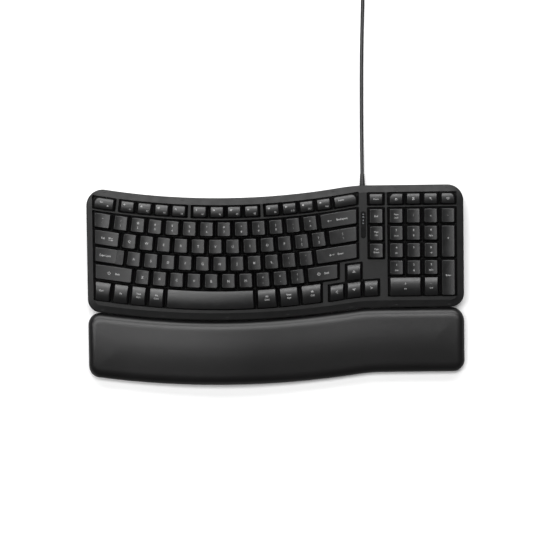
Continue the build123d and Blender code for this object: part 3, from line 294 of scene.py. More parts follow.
# name, colour and its spread, roughness and its spread, grain scale and height, specular level
plastics = {
    "case_black": ("caseBlack", grey(0.0045), 0.07, 0.5, 0.04, 4200, 0.35, 0.36),
    "base_black": ("baseBlack", grey(0.011), 0.08, 0.55, 0.05, 3400, 0.45),
    "frame_black": ("frameBlack", grey(0.003), 0.1, 0.6, 0.05, 2600, 0.4, 0.2),
    "key_black": ("keyBlack", grey(0.007), 0.06, 0.32, 0.035, 5200, 0.22),
    "cable_black": ("cableBlack", grey(0.012), 0.08, 0.42, 0.05, 3000, 0.3),
    "pad_rubber": ("padRubber", grey(0.012), 0.12, 0.75, 0.06, 1800, 0.6, 0.35),
    "dome_rubber": ("domeRubber", (0.45, 0.45, 0.42), 0.05, 0.5, 0.05, 1500, 0.3),
    "membrane_film": ("membraneFilm", (0.4, 0.46, 0.46), 0.06, 0.2, 0.04, 900, 0.1),
    "foam_grey": ("foamGrey", grey(0.06), 0.15, 0.9, 0.05, 700, 0.9),
    "plug_insulator": ("plugInsulator", (0.02, 0.04, 0.3), 0.06, 0.4, 0.05, 2000, 0.2),
    "window_smoke": ("windowSmoke", grey(0.004), 0.1, 0.12, 0.02, 900, 0.03),
}
# name, colour, roughness, and the stretch of the scratches along each axis
metals = {
    "plate_steel": ("plateSteel", (0.5, 0.5, 0.5), 0.35, (1.0, 40.0, 1.0)),
    "wire_steel": ("wireSteel", (0.55, 0.55, 0.55), 0.25, (40.0, 1.0, 1.0)),
    "screw_steel": ("screwSteel", (0.2, 0.2, 0.21), 0.35, (1.0, 1.0, 30.0)),
    "plug_steel": ("plugSteel", (0.75, 0.75, 0.76), 0.18, (1.0, 1.0, 40.0)),
}
looks = {
    **{slot: mouldedPlastic(*values) for slot, values in plastics.items()},
    **{slot: brushedMetal(*values) for slot, values in metals.items()},
    "board_green": paintedBoard("boardGreen", (0.015, 0.12, 0.05)),
    "palm_leather": leatherette("palmLeather", (0.0065, 0.0063, 0.0065), 0.33),
}
legendInk = printedInk("legendInk", (0.5, 0.5, 0.5))
lampInk = printedInk("lampInk", (0.22, 0.23, 0.24), 0.05)

for part in frame["record"]["subparts"]:
    node = nodes[part["node"]]
    node.data.materials.clear()
    node.data.materials.append(looks[part["material_slot"]])
print("materials set")


# Camera: straight above, with a long lens and the photograph's small roll
cameraPlace = {
    "aimX": 4.69,
    "aimY": 6.22,
    "aimZ": 18.0,
    "distance": 3000.0,
    "frameWidth": 619.9,
    "roll": math.atan2(0.01257, 0.99992),
    "sensor": 36.0,
    "clipNear": 0.05,
    "clipFar": 30.0,
}


def makeCamera():
    lens = bpy.data.cameras.new("camera")
    lens.sensor_width = cameraPlace["sensor"]
    lens.lens = lens.sensor_width * cameraPlace["distance"] / cameraPlace["frameWidth"]
    lens.clip_start, lens.clip_end = cameraPlace["clipNear"], cameraPlace["clipFar"]
    camera = bpy.data.objects.new("camera", lens)
    camera.location = (cameraPlace["aimX"] * mm, cameraPlace["aimY"] * mm,
                       (cameraPlace["aimZ"] + cameraPlace["distance"]) * mm)
    camera.rotation_euler = (0, 0, -cameraPlace["roll"])
    bpy.context.scene.collection.objects.link(camera)
    bpy.context.scene.camera = camera


makeCamera()


# Studio: a white floor, a dim room, and soft boxes behind, above and to the left
studio = {
    "room": 0.07,
    "floorHalf": 6.0,
    "paperScale": 30,
    "paperSpread": 0.02,
    "floorSeen": 0.92,
    "floorBounce": 0.22,
    "floorGlow": 0.12,
    "lights": (
        ("rearBox", (0.0, 1.5, 0.95), (2.6, 0.8), 38.0),
        ("rearStrip", (0.0, 1.15, 2.8), (2.6, 0.75), 52.0),
        ("leftBox", (-1.35, 0.2, 2.5), (0.45, 1.8), 18.0),
        ("topBox", (-0.9, 0.3, 3.6), (2.4, 2.4), 25.0),
    ),
}


def floorPaper():
    # white paper as the lens sees it, while little of its light comes back onto the object's sides;
    # sockets 6 and 7 of the mix are its two colours
    material, tree, shader, coords = newMaterial("floorPaper")
    paper = noiseNode(tree, coords, studio["paperScale"], 2)
    darker = studio["floorSeen"] - studio["paperSpread"]
    seen = rampNode(tree, paper, 0.3, 0.7, (darker,) * 3, (studio["floorSeen"],) * 3)
    path = tree.nodes.new("ShaderNodeLightPath")
    mix = tree.nodes.new("ShaderNodeMix")
    mix.data_type = "RGBA"
    tree.links.new(path.outputs["Is Camera Ray"], mix.inputs["Factor"])
    mix.inputs[6].default_value = (*(studio["floorBounce"],) * 3, 1)
    tree.links.new(seen, mix.inputs[7])
    tree.links.new(mix.outputs[2], shader.inputs["Base Color"])
    glow = tree.nodes.new("ShaderNodeMath")
    glow.operation = "MULTIPLY"
    glow.inputs[1].default_value = studio["floorGlow"]
    tree.links.new(path.outputs["Is Camera Ray"], glow.inputs[0])
    tree.links.new(glow.outputs[0], shader.inputs["Emission Strength"])
    shader.inputs["Emission Color"].default_value = (1, 1, 1, 1)
    shader.inputs["Roughness"].default_value = 0.9
    shader.inputs["Specular IOR Level"].default_value = 0.1
    return material


def makeStudio():
    world = bpy.data.worlds.new("room")
    world.use_nodes = True
    world.node_tree.nodes["Background"].inputs["Color"].default_value = (1, 1, 1, 1)
    world.node_tree.nodes["Background"].inputs["Strength"].default_value = studio["room"]
    bpy.context.scene.world = world
    half = studio["floorHalf"]
    corners = np.array([[-half, -half, 0], [half, -half, 0], [half, half, 0], [-half, half, 0]])
    floor = meshFromArrays("floor", corners, np.array([[0, 1, 2, 3]]), False)
    floor.data.materials.append(floorPaper())
    for name, place, size, power in studio["lights"]:
        light = bpy.data.lights.new(name, "AREA")
        light.shape = "RECTANGLE"
        light.size, light.size_y = size
        light.energy = power
        box = bpy.data.objects.new(name, light)
        box.location = place
        toMiddle = -np.array(place)
        flat = math.hypot(toMiddle[0], toMiddle[1])
        turn = math.atan2(toMiddle[1], toMiddle[0]) - math.pi / 2
        box.rotation_euler = (math.atan2(flat, -toMiddle[2]), 0, turn)
        bpy.context.scene.collection.objects.link(box)


makeStudio()
bpy.context.scene.view_settings.view_transform = "Standard"
print("camera and studio set")


# Cable: the route's points, then the coil's half turns, two layers deep, then the run to the plug
cable = {
    "diameter": 4.0,
    "length": 1558.6,
    "lead": (
        (97.45, 117.7, 7.0), (97.45, 129.0, 6.7), (97.5, 148.0, 4.1),
        (97.6, 172.0, 2.05), (97.9, 214.0, 2.05), (98.7, 262.0, 2.05),
        (100.3, 306.0, 2.1), (101.0, 331.0, 2.8), (101.0, 357.0, 2.8),
    ),
    "tail": (
        (64.0, 394.0, 7.3), (53.0, 394.0, 7.3), (37.0, 394.6, 5.2),
        (23.0, 395.8, 4.15), (12.0, 396.6, 4.15),
    ),
    "coilRadius": 33.0,
    "coilStep": 4.5,
    "halfTurns": 8,
    "pointsPerHalf": 7,
    "stepsPerPoint": 8,
    "roundSteps": 5,
}


def coilPoints():
    # each half turn is a circle about its own centre; control points stand out by 1 / cos(half a step)
    x, y, z = cable["lead"][-1]
    centreY, topZ = y + cable["diameter"], cable["tail"][0][2]
    radius, side, here = cable["coilRadius"], -1, x
    count = cable["pointsPerHalf"]
    angles = (np.arange(count) + 0.5) * np.pi / count
    spread = 1 / math.cos(np.pi / count / 2)
    turns = []
    for turn in range(cable["halfTurns"] * 2):
        upper = turn >= cable["halfTurns"]
        climb = turn == cable["halfTurns"]
        level = z + (topZ - z) * angles / np.pi if climb else np.full(count, topZ if upper else z)
        centreX = here + side * radius
        turns.append(np.stack([centreX - side * radius * spread * np.cos(angles),
                               centreY - side * radius * spread * np.sin(angles), level], axis=-1))
        here, side = here + side * 2 * radius, -side
        radius += cable["coilStep"] / 2 if upper else -cable["coilStep"] / 2
    half = angles[angles < np.pi / 2]
    centreX = here - radius
    turns.append(np.stack([centreX + radius * spread * np.cos(half),
                           centreY + radius * spread * np.sin(half),
                           np.full(len(half), topZ)], axis=-1))
    return np.concatenate(turns)


def makeCable():
    route = np.concatenate([np.array(cable["lead"]), coilPoints(), np.array(cable["tail"])]) * mm
    curve = bpy.data.curves.new("cableJacket", "CURVE")
    curve.dimensions = "3D"
    spline = curve.splines.new("NURBS")
    spline.points.add(len(route) - 1)
    spline.points.foreach_set("co", np.column_stack([route, np.ones(len(route))]).ravel())
    spline.order_u = 3
    spline.use_endpoint_u = True
    spline.resolution_u = cable["stepsPerPoint"]
    curve.bevel_depth = cable["diameter"] / 2 * mm
    curve.bevel_resolution = cable["roundSteps"]
    curve.use_fill_caps = True
    piece = bpy.data.objects.new("cableJacket", curve)
    bpy.context.scene.collection.objects.link(piece)
    curve.materials.append(looks["cable_black"])
    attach(piece, "keyboard")
    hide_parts("cable", "cable_coil")
    return piece


# Strain relief: a ribbed cone on the cable, with a flange inside the wall
relief = {
    "x": 97.45,
    "z": 7.0,
    "rear": 109.605,
    "inner": 3.7,
    "length": 13.0,
    "sag": 0.27,
    "rootRadius": 3.2,
    "tipRadius": 2.45,
    "flangeRadius": 4.1,
    "flangeWidth": 1.4,
    "coreRadius": 0.2,
    "ribs": 5,
    "ribDepth": 0.32,
    "plainShare": 0.08,
    "lip": 0.18,
    "lipRise": 0.12,
    "lipIn": 0.06,
    "along": 90,
    "around": 48,
}


def makeRelief():
    # radius tapers along the axis, with round grooves between ribs, a flange inside
    # and a rounded lip at the tip; the cone sags with the cable as the square of the way along
    along = np.linspace(0, 1, relief["along"])
    radius = relief["rootRadius"] + (relief["tipRadius"] - relief["rootRadius"]) * along
    groove = np.clip(np.sin(along * relief["ribs"] * 2 * np.pi - np.pi / 2), 0, 1)
    ribbed = (along > relief["plainShare"]) & (along < 1 - relief["plainShare"])
    radius = radius - relief["ribDepth"] * groove * ribbed
    y = relief["rear"] + relief["length"] * along
    inner, flange, root, core = (relief[key] for key in ("inner", "flangeRadius", "rootRadius", "coreRadius"))
    grip = inner - relief["flangeWidth"]
    innerY = relief["rear"] + np.array([-inner, -inner, -grip, -grip, -0.01])
    innerR = np.array([core, flange, flange, root, root])
    tipY = y[-1] + np.array([relief["lipRise"], relief["lip"], relief["lip"]])
    tipR = np.array([relief["tipRadius"] - relief["lipIn"], relief["tipRadius"] - core, core])
    y, radius = np.concatenate([innerY, y, tipY]), np.concatenate([innerR, radius, tipR])
    sag = relief["sag"]
    drop = np.concatenate([np.zeros(len(innerY)), sag * along ** 2, np.full(len(tipY), sag)])
    turn = np.linspace(0, 2 * np.pi, relief["around"], endpoint=False)
    grid = np.stack([relief["x"] + radius[:, None] * np.cos(turn), y[:, None] + 0 * turn,
                     relief["z"] - drop[:, None] + radius[:, None] * np.sin(turn)], axis=-1) * mm
    count = relief["around"]
    ends = np.array([[relief["x"], y[0], relief["z"]], [relief["x"], y[-1], relief["z"] - sag]]) * mm
    points = np.concatenate([grid.reshape(-1, 3), ends])
    quads = gridFaces(len(y), count, wrapColumns=True)
    first, last = len(points) - 2, len(points) - 1
    k = np.arange(count)
    lastRow = (len(y) - 1) * count
    startFan = np.stack([np.full(count, first), (k + 1) % count, k], axis=-1)
    endFan = np.stack([np.full(count, last), lastRow + k, lastRow + (k + 1) % count], axis=-1)
    faces = quads.tolist() + startFan.tolist() + endFan.tolist()
    mesh = bpy.data.meshes.new("strainRelief")
    mesh.from_pydata(points.tolist(), [], faces)
    mesh.polygons.foreach_set("use_smooth", np.ones(len(mesh.polygons), bool))
    piece = bpy.data.objects.new("strainRelief", mesh)
    bpy.context.scene.collection.objects.link(piece)
    mesh.materials.append(looks["cable_black"])
    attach(piece, "keyboard")
    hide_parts("strain_relief")
    return piece


cablePiece = makeCable()
reliefPiece = makeRelief()
print("cable set")


# Palm cushion: a padded form over the tray, bowed like the keyboard's front
palm = {
    "width": 417.3,
    "rearY": -25.85,
    "depth": 71.4,
    "rearSag": 11.9,
    "rearRadius": 960.0,
    "frontSag": 12.16,
    "frontRadius": 1017.0,
    "rearCorner": 16.0,
    "frontCorner": 13.0,
    "baseZ": 5.02,
    "rearZ": 17.5,
    "frontZ": 12.6,
    "crown": 2.3,
    "waveShare": 0.6,
    "roll": 13.5,
    "endRollShare": 0.75,
    "frontRollShare": 0.85,
    "rollPower": 3.0,
    "shoulderDrop": 9.6,
    "bulge": 0.35,
    "tuck": 0.9,
    "tuckShares": ((0.3, 0.7), (0.0, 1.6)),
    "soleReach": 6.0,
    "joinEase": 1.2,
    "longSteps": 248,
    "shortSteps": 31,
    "cornerSteps": 28,
    "rollSteps": 26,
    "topSteps": 20,
    "spineShare": 0.9,
}


def bowEdge(x, line, sag, radius):
    # an arc about bowX up to where it meets the straight line, then the line, with the join eased
    arc = line - sag + radius - np.sqrt(np.maximum(radius ** 2 - (x - deck["bowX"]) ** 2, 1))
    ease = palm["joinEase"]
    eased = np.minimum(arc, line) - ease * np.exp(-np.abs(arc - line) / ease) / 2
    return np.where(x > deck["bowX"], eased, arc)


def palmOutline():
    # a rounded rectangle in length and depth, point by point around it, with its inward normals
    w, d = palm["width"] / 2, palm["depth"]
    sides = []
    corners = ((w, 0.0, palm["rearCorner"], 0), (w, -d, palm["frontCorner"], 1),
               (-w, -d, palm["frontCorner"], 2), (-w, 0.0, palm["rearCorner"], 3))
    for cornerX, cornerY, radius, quarter in corners:
        a = np.pi / 2 - quarter * np.pi / 2 - np.linspace(0, np.pi / 2, palm["cornerSteps"])
        cx = cornerX - math.copysign(radius, cornerX)
        cy = cornerY + (-radius if cornerY == 0 else radius)
        c, s = np.cos(a), np.sin(a)
        sides.append(np.stack([cx + radius * c, cy + radius * s, c, s], axis=-1))
    ring = []
    for k, side in enumerate(sides):
        following = sides[(k + 1) % 4]
        count = palm["longSteps"] if k % 2 else palm["shortSteps"]
        steps = np.linspace(0, 1, count, endpoint=False)[1:]
        straight = side[-1] + (following[0] - side[-1]) * steps[:, None]
        ring += [side, straight]
    return np.concatenate(ring)


def palmPoint(flatX, flatY):
    # carries a point of the rounded rectangle to its place between the bowed rear and front edges
    share = -flatY / palm["depth"]
    rear = bowEdge(flatX, palm["rearY"], palm["rearSag"], palm["rearRadius"])
    front = bowEdge(flatX, palm["rearY"] - palm["depth"], palm["frontSag"], palm["frontRadius"])
    return rear + (front - rear) * share, share


def palmTop(x, share):
    # falls from rear to front, crowned across, and rises a little with the wave
    crown = palm["crown"] * (1 - (2 * share - 1) ** 2)
    fall = (palm["frontZ"] - palm["rearZ"]) * share
    return palm["rearZ"] + fall + crown + palm["waveShare"] * waveRise(x)


def makePalm():
    ring = palmOutline()[::-1]
    x, y, nx, ny = ring.T
    tuck, roll = palm["tuck"], palm["roll"]
    rows = []
    wall = [(tuck * inward, tuck * upward) for inward, upward in palm["tuckShares"]]
    for step, lift in ((palm["soleReach"], 0.0), (tuck, 0.0), *wall):
        fx, fy = x - nx * step, y - ny * step
        py, share = palmPoint(fx, fy)
        rows.append(np.stack([fx, py, np.full_like(fx, palm["baseZ"] + lift)], axis=-1))
    # the shoulder leaves the wall upright and runs into the top without a crease, sooner at the ends
    shoulder = palm["baseZ"] + wall[-1][1]
    reach = roll * (1 - (1 - palm["endRollShare"]) * nx ** 2)
    reach = reach * (1 - (1 - palm["frontRollShare"]) * np.clip(-ny, 0, 1))
    for a in np.linspace(0, np.pi / 2, palm["rollSteps"]):
        step = reach * (1 - np.cos(a))
        fx, fy = x - nx * step, y - ny * step
        py, share = palmPoint(fx, fy)
        top = palmTop(fx, share)
        part = np.sqrt(1 - np.cos(a) ** palm["rollPower"])
        z = top - np.minimum(top - shoulder, palm["shoulderDrop"]) * (1 - part)
        rows.append(np.stack([fx, py, z], axis=-1))
    lastX, lastY = x - nx * reach, y - ny * reach
    half = palm["width"] / 2 - palm["depth"] / 2
    midX, midY = np.clip(lastX, -half, half), np.full_like(lastX, -palm["depth"] / 2)
    # the top runs on inwards towards a spine along its middle
    for t in np.linspace(0, palm["spineShare"], palm["topSteps"])[1:]:
        fx, fy = lastX + (midX - lastX) * t, lastY + (midY - lastY) * t
        py, share = palmPoint(fx, fy)
        z = palmTop(fx, share) + palm["bulge"] * np.sin(np.pi * t / 2) ** 2
        rows.append(np.stack([fx, py, z], axis=-1))
    grid = np.stack(rows) * mm
    count = grid.shape[1]
    points = grid.reshape(-1, 3)
    quads = gridFaces(grid.shape[0], count, wrapColumns=True)
    mesh = bpy.data.meshes.new("palmCushion")
    # the last ring is closed by quads from its rear side to its front side, and by one face at each end
    lastRow = (grid.shape[0] - 1) * count
    start = count - 1 - palm["cornerSteps"] - palm["shortSteps"] // 2
    across = np.arange(count // 2)
    one, other = lastRow + (start - across) % count, lastRow + (start + 1 + across) % count
    end = palm["cornerSteps"] + palm["shortSteps"] // 2 + 2
    lid = np.stack([one[1:], one[:-1], other[:-1], other[1:]], axis=-1)[end:-end].tolist()
    for part in (slice(end + 1), slice(-end - 1, None)):
        lid.append(one[part][::-1].tolist() + other[part].tolist())
    faces = quads.tolist() + lid + [list(range(count))[::-1]]
    mesh.from_pydata(points.tolist(), [], faces)
    mesh.polygons.foreach_set("use_smooth", np.ones(len(mesh.polygons), bool))
    piece = bpy.data.objects.new("palmCushion", mesh)
    bpy.context.scene.collection.objects.link(piece)
    mesh.materials.append(looks["palm_leather"])
    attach(piece, "keyboard")
    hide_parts("palm_cover", "palm_foam")
    return piece


makePalm()
print("palm cushion set")

# Key legends: thin ink that follows each key's dished or crowned face
caps = {
    "dish": 0.7,
    "thumbCrown": 1.5,
    "lowCrown": 0.8,
    "sideInset": 2.77,
    "endInset": 2.05,
    "lowInset": 1.6,
    "lowDepth": 14.0,
    "thumbDepth": 22.4,
}
ink = {"lift": 0.045, "depth": 0.03, "stroke": 0.3, "curveSteps": 2}
# y of each row at the lowest point of the bow, x of the straight columns, and bounds along a row in pitches
places = {
    "lowY": 82.15,
    "numberY": 63.05,
    "padY": 75.35,
    "hotY": 94.25,
    "padX": 133.75,
    "navigationX": 111.65,
    "arrowX": 86.45,
    "escapeEnd": -6.39,
    "deleteStart": 6.21,
    "lowStarts": (-6.2, -2.0, 2.2),
    "thumbBounds": (-6.52, -5.51, -4.5, -3.48),
    "thumbRightBounds": (1.64, 2.91, 4.15),
    "shiftEndX": 70.8,
    "controlEndX": 51.7,
}


def keyOnArc(rowY, left, right, depth=deck["pitch"], crown=0.0, offset=0.0):
    # the middle of a key between two distances along its row's arc
    turn = (left + right) / 2 / deck["rowRadius"]
    radius = deck["rowRadius"] - offset
    x = deck["bowX"] + radius * math.sin(turn)
    y = rowY + deck["rowRadius"] - radius * math.cos(turn)
    return {"x": x, "y": y, "turn": turn, "width": right - left, "depth": depth, "crown": crown}


def keyAt(x, y, columns=1.0, depth=deck["pitch"], crown=0.0, turn=0.0):
    return {"x": x, "y": y, "turn": math.radians(turn), "width": columns * deck["pitch"], "depth": depth,
            "crown": crown}


def alongArc(x):
    # the distance along a row's arc at which it passes x
    return deck["rowRadius"] * math.asin((x - deck["bowX"]) / deck["rowRadius"])


def onKey(key, local):
    # across is dished as a circle through both edges, or front to back is crowned the same way
    u, v, w = local[:, 0], local[:, 1], local[:, 2]
    if key["crown"]:
        inset = caps["lowInset"] if key["depth"] == caps["lowDepth"] else caps["endInset"]
        half, sag = key["depth"] / 2 - inset, key["crown"]
        radius = (half ** 2 + sag ** 2) / (2 * sag)
        height = np.sqrt(radius ** 2 - v ** 2) - radius
    else:
        half, sag = key["width"] / 2 - caps["sideInset"], caps["dish"]
        radius = (half ** 2 + sag ** 2) / (2 * sag)
        height = radius - sag - np.sqrt(radius ** 2 - u ** 2)
    c, s = math.cos(key["turn"]), math.sin(key["turn"])
    x, y = key["x"] + u * c - v * s, key["y"] + u * s + v * c
    middle = np.array(key["x"])
    level = deck["keyLevel"] + waveRise(middle) + waveSlope(middle) * (x - key["x"]) + height
    return deckToWorld(x, y, level + w + ink["lift"])


# Icons: each is a list of paths that fit in a square from -1 to 1, or a little wider

def arc(cx, cy, radius, start=0.0, stop=360.0, steps=16):
    a = np.radians(np.linspace(start, stop, steps + 1))
    return np.stack([cx + radius * np.cos(a), cy + radius * np.sin(a)], axis=-1)


def line(*points):
    return np.array(points, float)


def box(left, front, right, rear):
    return line((left, front), (right, front), (right, rear), (left, rear), (left, front))


def ray(angle, near, far):
    c, s = math.cos(math.radians(angle)), math.sin(math.radians(angle))
    return line((near * c, near * s), (far * c, far * s))


def arrowHead(tip, back, side):
    # two strokes that meet at the tip of an arrow along x
    return line((back, side), (tip, 0), (back, -side))


capsule = box(-0.3, 0.8, 0.3, -0.1)
speaker = line((-1, -0.35), (-0.6, -0.35), (-0.1, -0.8), (-0.1, 0.8), (-0.6, 0.35), (-1, 0.35), (-1, -0.35))
icons = {
    "back": [line((1.6, 0), (-1.6, 0)), arrowHead(-1.6, -0.9, 0.7)],
    "enter": [line((1.6, 0.7), (1.6, 0), (-1.6, 0)), arrowHead(-1.6, -0.9, 0.7)],
    "shift": [line((-1, 0), (0, 0.95), (1, 0), (0.5, 0), (0.5, -0.75), (-0.5, -0.75), (-0.5, 0), (-1, 0))],
    "tab": [
        line((1.2, 0.5), (-0.9, 0.5)),
        line((-0.4, 0.95), (-0.9, 0.5), (-0.4, 0.05)),
        line((-1.2, 0.9), (-1.2, 0.1)),
        line((-1.2, -0.6), (0.9, -0.6)),
        line((0.4, -0.15), (0.9, -0.6), (0.4, -1.05)),
        line((1.2, -0.2), (1.2, -1.0)),
    ],
    "up": [line((-0.9, -0.5), (0, 0.75), (0.9, -0.5), (-0.9, -0.5))],
    "down": [line((-0.9, 0.5), (0, -0.75), (0.9, 0.5), (-0.9, 0.5))],
    "left": [line((0.5, -0.9), (-0.75, 0), (0.5, 0.9), (0.5, -0.9))],
    "right": [line((-0.5, -0.9), (0.75, 0), (-0.5, 0.9), (-0.5, -0.9))],
    "upArrow": [line((0, -0.9), (0, 0.9)), line((-0.55, 0.3), (0, 0.9), (0.55, 0.3))],
    "downArrow": [line((0, 0.9), (0, -0.9)), line((-0.55, -0.3), (0, -0.9), (0.55, -0.3))],
    "leftArrow": [line((0.9, 0), (-0.9, 0)), arrowHead(-0.9, -0.3, 0.55)],
    "rightArrow": [line((-0.9, 0), (0.9, 0)), arrowHead(0.9, 0.3, 0.55)],
    "lock": [box(-0.7, -0.9, 0.7, 0.1), arc(0, 0.1, 0.45, 0, 180, 8)],
    "dim": [arc(0, 0, 0.4)] + [ray(a, 0.7, 0.85) for a in range(0, 360, 45)],
    "bright": [arc(0, 0, 0.45)] + [ray(a, 0.65, 1.0) for a in range(0, 360, 45)],
    "panes": [box(-0.9, -0.6, 0.4, 0.5), line((-0.4, 0.8), (0.9, 0.8), (0.9, -0.3))],
    "search": [arc(-0.15, 0.15, 0.6), line((0.3, -0.3), (0.9, -0.9))],
    "voice": [capsule, arc(0, -0.05, 0.6, 180, 360, 8), line((0, -0.65), (0, -1.0))],
    "camera": [box(-1, -0.5, 0.4, 0.5), line((0.5, 0), (1, 0.45), (1, -0.45), (0.5, 0))],
    "desktop": [box(-0.9, -0.4, 0.9, 0.75), line((-0.4, -0.85), (0.4, -0.85))],
    "previous": [line((-0.8, -0.7), (-0.8, 0.7)), line((0.8, -0.7), (-0.6, 0), (0.8, 0.7), (0.8, -0.7))],
    "play": [
        line((-0.9, -0.7), (0.1, 0), (-0.9, 0.7), (-0.9, -0.7)),
        line((0.4, -0.7), (0.4, 0.7)),
        line((0.85, -0.7), (0.85, 0.7)),
    ],
    "next": [line((0.8, -0.7), (0.8, 0.7)), line((-0.8, -0.7), (0.6, 0), (-0.8, 0.7), (-0.8, -0.7))],
    "mute": [speaker, line((0.3, -0.4), (1, 0.4)), line((0.3, 0.4), (1, -0.4))],
    "loud": [speaker, arc(-0.1, 0, 0.6, -40, 40, 6), arc(-0.1, 0, 1.0, -40, 40, 6)],
    "calculator": [
        box(-0.7, -0.95, 0.7, 0.95),
        line((-0.35, 0.45), (0.35, 0.45)),
        line((-0.35, -0.2), (-0.1, -0.2)),
        line((0.1, -0.2), (0.35, -0.2)),
    ],
    "mutedVoice": [capsule, line((-0.9, 0.9), (0.9, -0.9))],
    "page": [
        box(-0.9, -0.6, 0.9, 0.6),
        line((-0.5, 0.1), (0.5, 0.1)),
        line((-0.5, -0.25), (0.2, -0.25)),
    ],
}


def strokes(name, size):
    # every run between two points of an icon becomes one thin closed box
    boxes, quads = [], []
    sides = np.array([[0, 3, 2, 1], [4, 5, 6, 7], [0, 1, 5, 4], [1, 2, 6, 5], [2, 3, 7, 6], [3, 0, 4, 7]])
    half = ink["stroke"] / 2
    for path in icons[name]:
        a, b = path[:-1] * size, path[1:] * size
        run = (b - a) / np.maximum(np.linalg.norm(b - a, axis=1, keepdims=True), 1e-9)
        side = np.stack([-run[:, 1], run[:, 0]], axis=-1) * half
        a, b = a - run * half, b + run * half
        ring = np.stack([a + side, a - side, b - side, b + side], axis=1)
        low = np.concatenate([ring, np.full((*ring.shape[:2], 1), -ink["depth"])], axis=-1)
        high = np.concatenate([ring, np.zeros((*ring.shape[:2], 1))], axis=-1)
        for corners in np.concatenate([low, high], axis=1):
            quads.append(sides[:, ::-1] + 8 * len(boxes))
            boxes.append(corners)
    return np.concatenate(boxes), np.concatenate(quads).tolist()


words = {}


def lettering(text, size):
    # Blender's own plain font, made a thin mesh once for each word and size
    if (text, size) not in words:
        curve = bpy.data.curves.new("word", "FONT")
        curve.body, curve.size = text, size
        curve.align_x, curve.align_y = "CENTER", "CENTER"
        curve.resolution_u = ink["curveSteps"]
        curve.extrude = ink["depth"] / 2
        holder = bpy.data.objects.new("word", curve)
        bpy.context.scene.collection.objects.link(holder)
        bpy.context.view_layer.update()
        mesh = bpy.data.meshes.new_from_object(holder.evaluated_get(bpy.context.evaluated_depsgraph_get()))
        points = np.empty(len(mesh.vertices) * 3)
        mesh.vertices.foreach_get("co", points)
        points = points.reshape(-1, 3) - (0, 0, ink["depth"] / 2)
        words[(text, size)] = points, [list(p.vertices) for p in mesh.polygons]
        bpy.data.objects.remove(holder)
        bpy.data.curves.remove(curve)
        bpy.data.meshes.remove(mesh)
    return words[(text, size)]


def inkPiece(name, body, material, entries):
    # joins all the marks of an entry list into one piece; a mark is a word or icon, its place and its size
    points, quads, count = [], [], 0
    for place, marks in entries:
        for mark, u, v, size in marks:
            local, loops = strokes(mark, size) if mark in icons else lettering(mark, size)
            points.append(place(local + (u, v, 0)))
            quads += [[index + count for index in loop] for loop in loops]
            count += len(local)
    mesh = bpy.data.meshes.new(name)
    mesh.from_pydata(np.concatenate(points).tolist(), [], quads)
    piece = bpy.data.objects.new(name, mesh)
    bpy.context.scene.collection.objects.link(piece)
    mesh.materials.append(material)
    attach(piece, body)
    return piece


def putLegends(node, entries):
    # one piece of ink for each key node, moving with it
    placed = [(lambda local, key=key: onKey(key, local), marks) for key, marks in entries]
    inkPiece("legends_" + node, node, legendInk, placed)


# sizes of lettering and icons in millimetres
letterSize, wordSize, twoLineSize, smallSize, iconSize = 3.7, 3.0, 2.7, 2.3, 0.95


def pair(upper, lower):
    return [(upper, 0, 2.6, 3.0), (lower, 0, -2.7, 3.0)]


def twoLines(upper, lower, rise=1.7, fall=1.9, size=2.5):
    return [(upper, 0, rise, size), (lower, 0, -fall, size)]


lowLabels = (
    ("f1_to_f4_keys", (("dim", "F1"), ("bright", "F2"), ("panes", "F3"), ("search", "F4"))),
    ("f5_to_f8_keys", (("voice", "F5"), ("camera", "F6"), ("desktop", "F7"), ("previous", "F8"))),
    ("f9_to_f12_keys", (("play", "F9"), ("next", "F10"), ("mute", "F11"), ("loud", "F12"))),
)
# the typing rows: start in pitches, node, labels, the wider key at each end, where the right one ends
typingRows = (
    (-6.6, "digit_row_keys", ("!1", "@2", "#3", "$4", "%5", "^6", "&7", "*8", "(9", ")0", "_-", "+="),
     ("digit_row_keys", pair("~", "`")),
     ("backspace_key", [("back", -10.2, 0, 1.3), ("Backspace", 3.6, 0, wordSize)]), deck["rightX"]),
    (-6.11, "top_row_keys", (*"QWERTYUIOP", "{[", "}]"),
     ("tab_key", [("Tab", -4.2, 0, wordSize), ("tab", 4.4, 0, 1.9)]),
     ("backslash_key", pair("|", "\\")), deck["rightX"]),
    (-5.87, "home_row_keys", (*"ASDFGHJKL", ":;", "\"'"),
     ("caps_lock_key", [("Caps Lock", -4.4, 0, wordSize)]),
     ("enter_key", [("enter", -5.6, 0, 1.5), ("Enter", 4.2, 0, wordSize)]), deck["rightX"]),
    (-5.38, "bottom_row_keys", (*"ZXCVBNM", "<,", ">.", "?/"),
     ("left_shift_key", [("shift", -5.0, 0, 1.8), ("Shift", 4.2, 0, wordSize)]),
     ("right_shift_key", [("shift", -4.4, 0, 1.8), ("Shift", 4.2, 0, wordSize)]), places["shiftEndX"]),
)
startMarks = twoLines("Start", "Opt", 2.2, 1.4, twoLineSize)
altMarks = twoLines("Alt", "Cmd", 2.2, 1.4, twoLineSize)
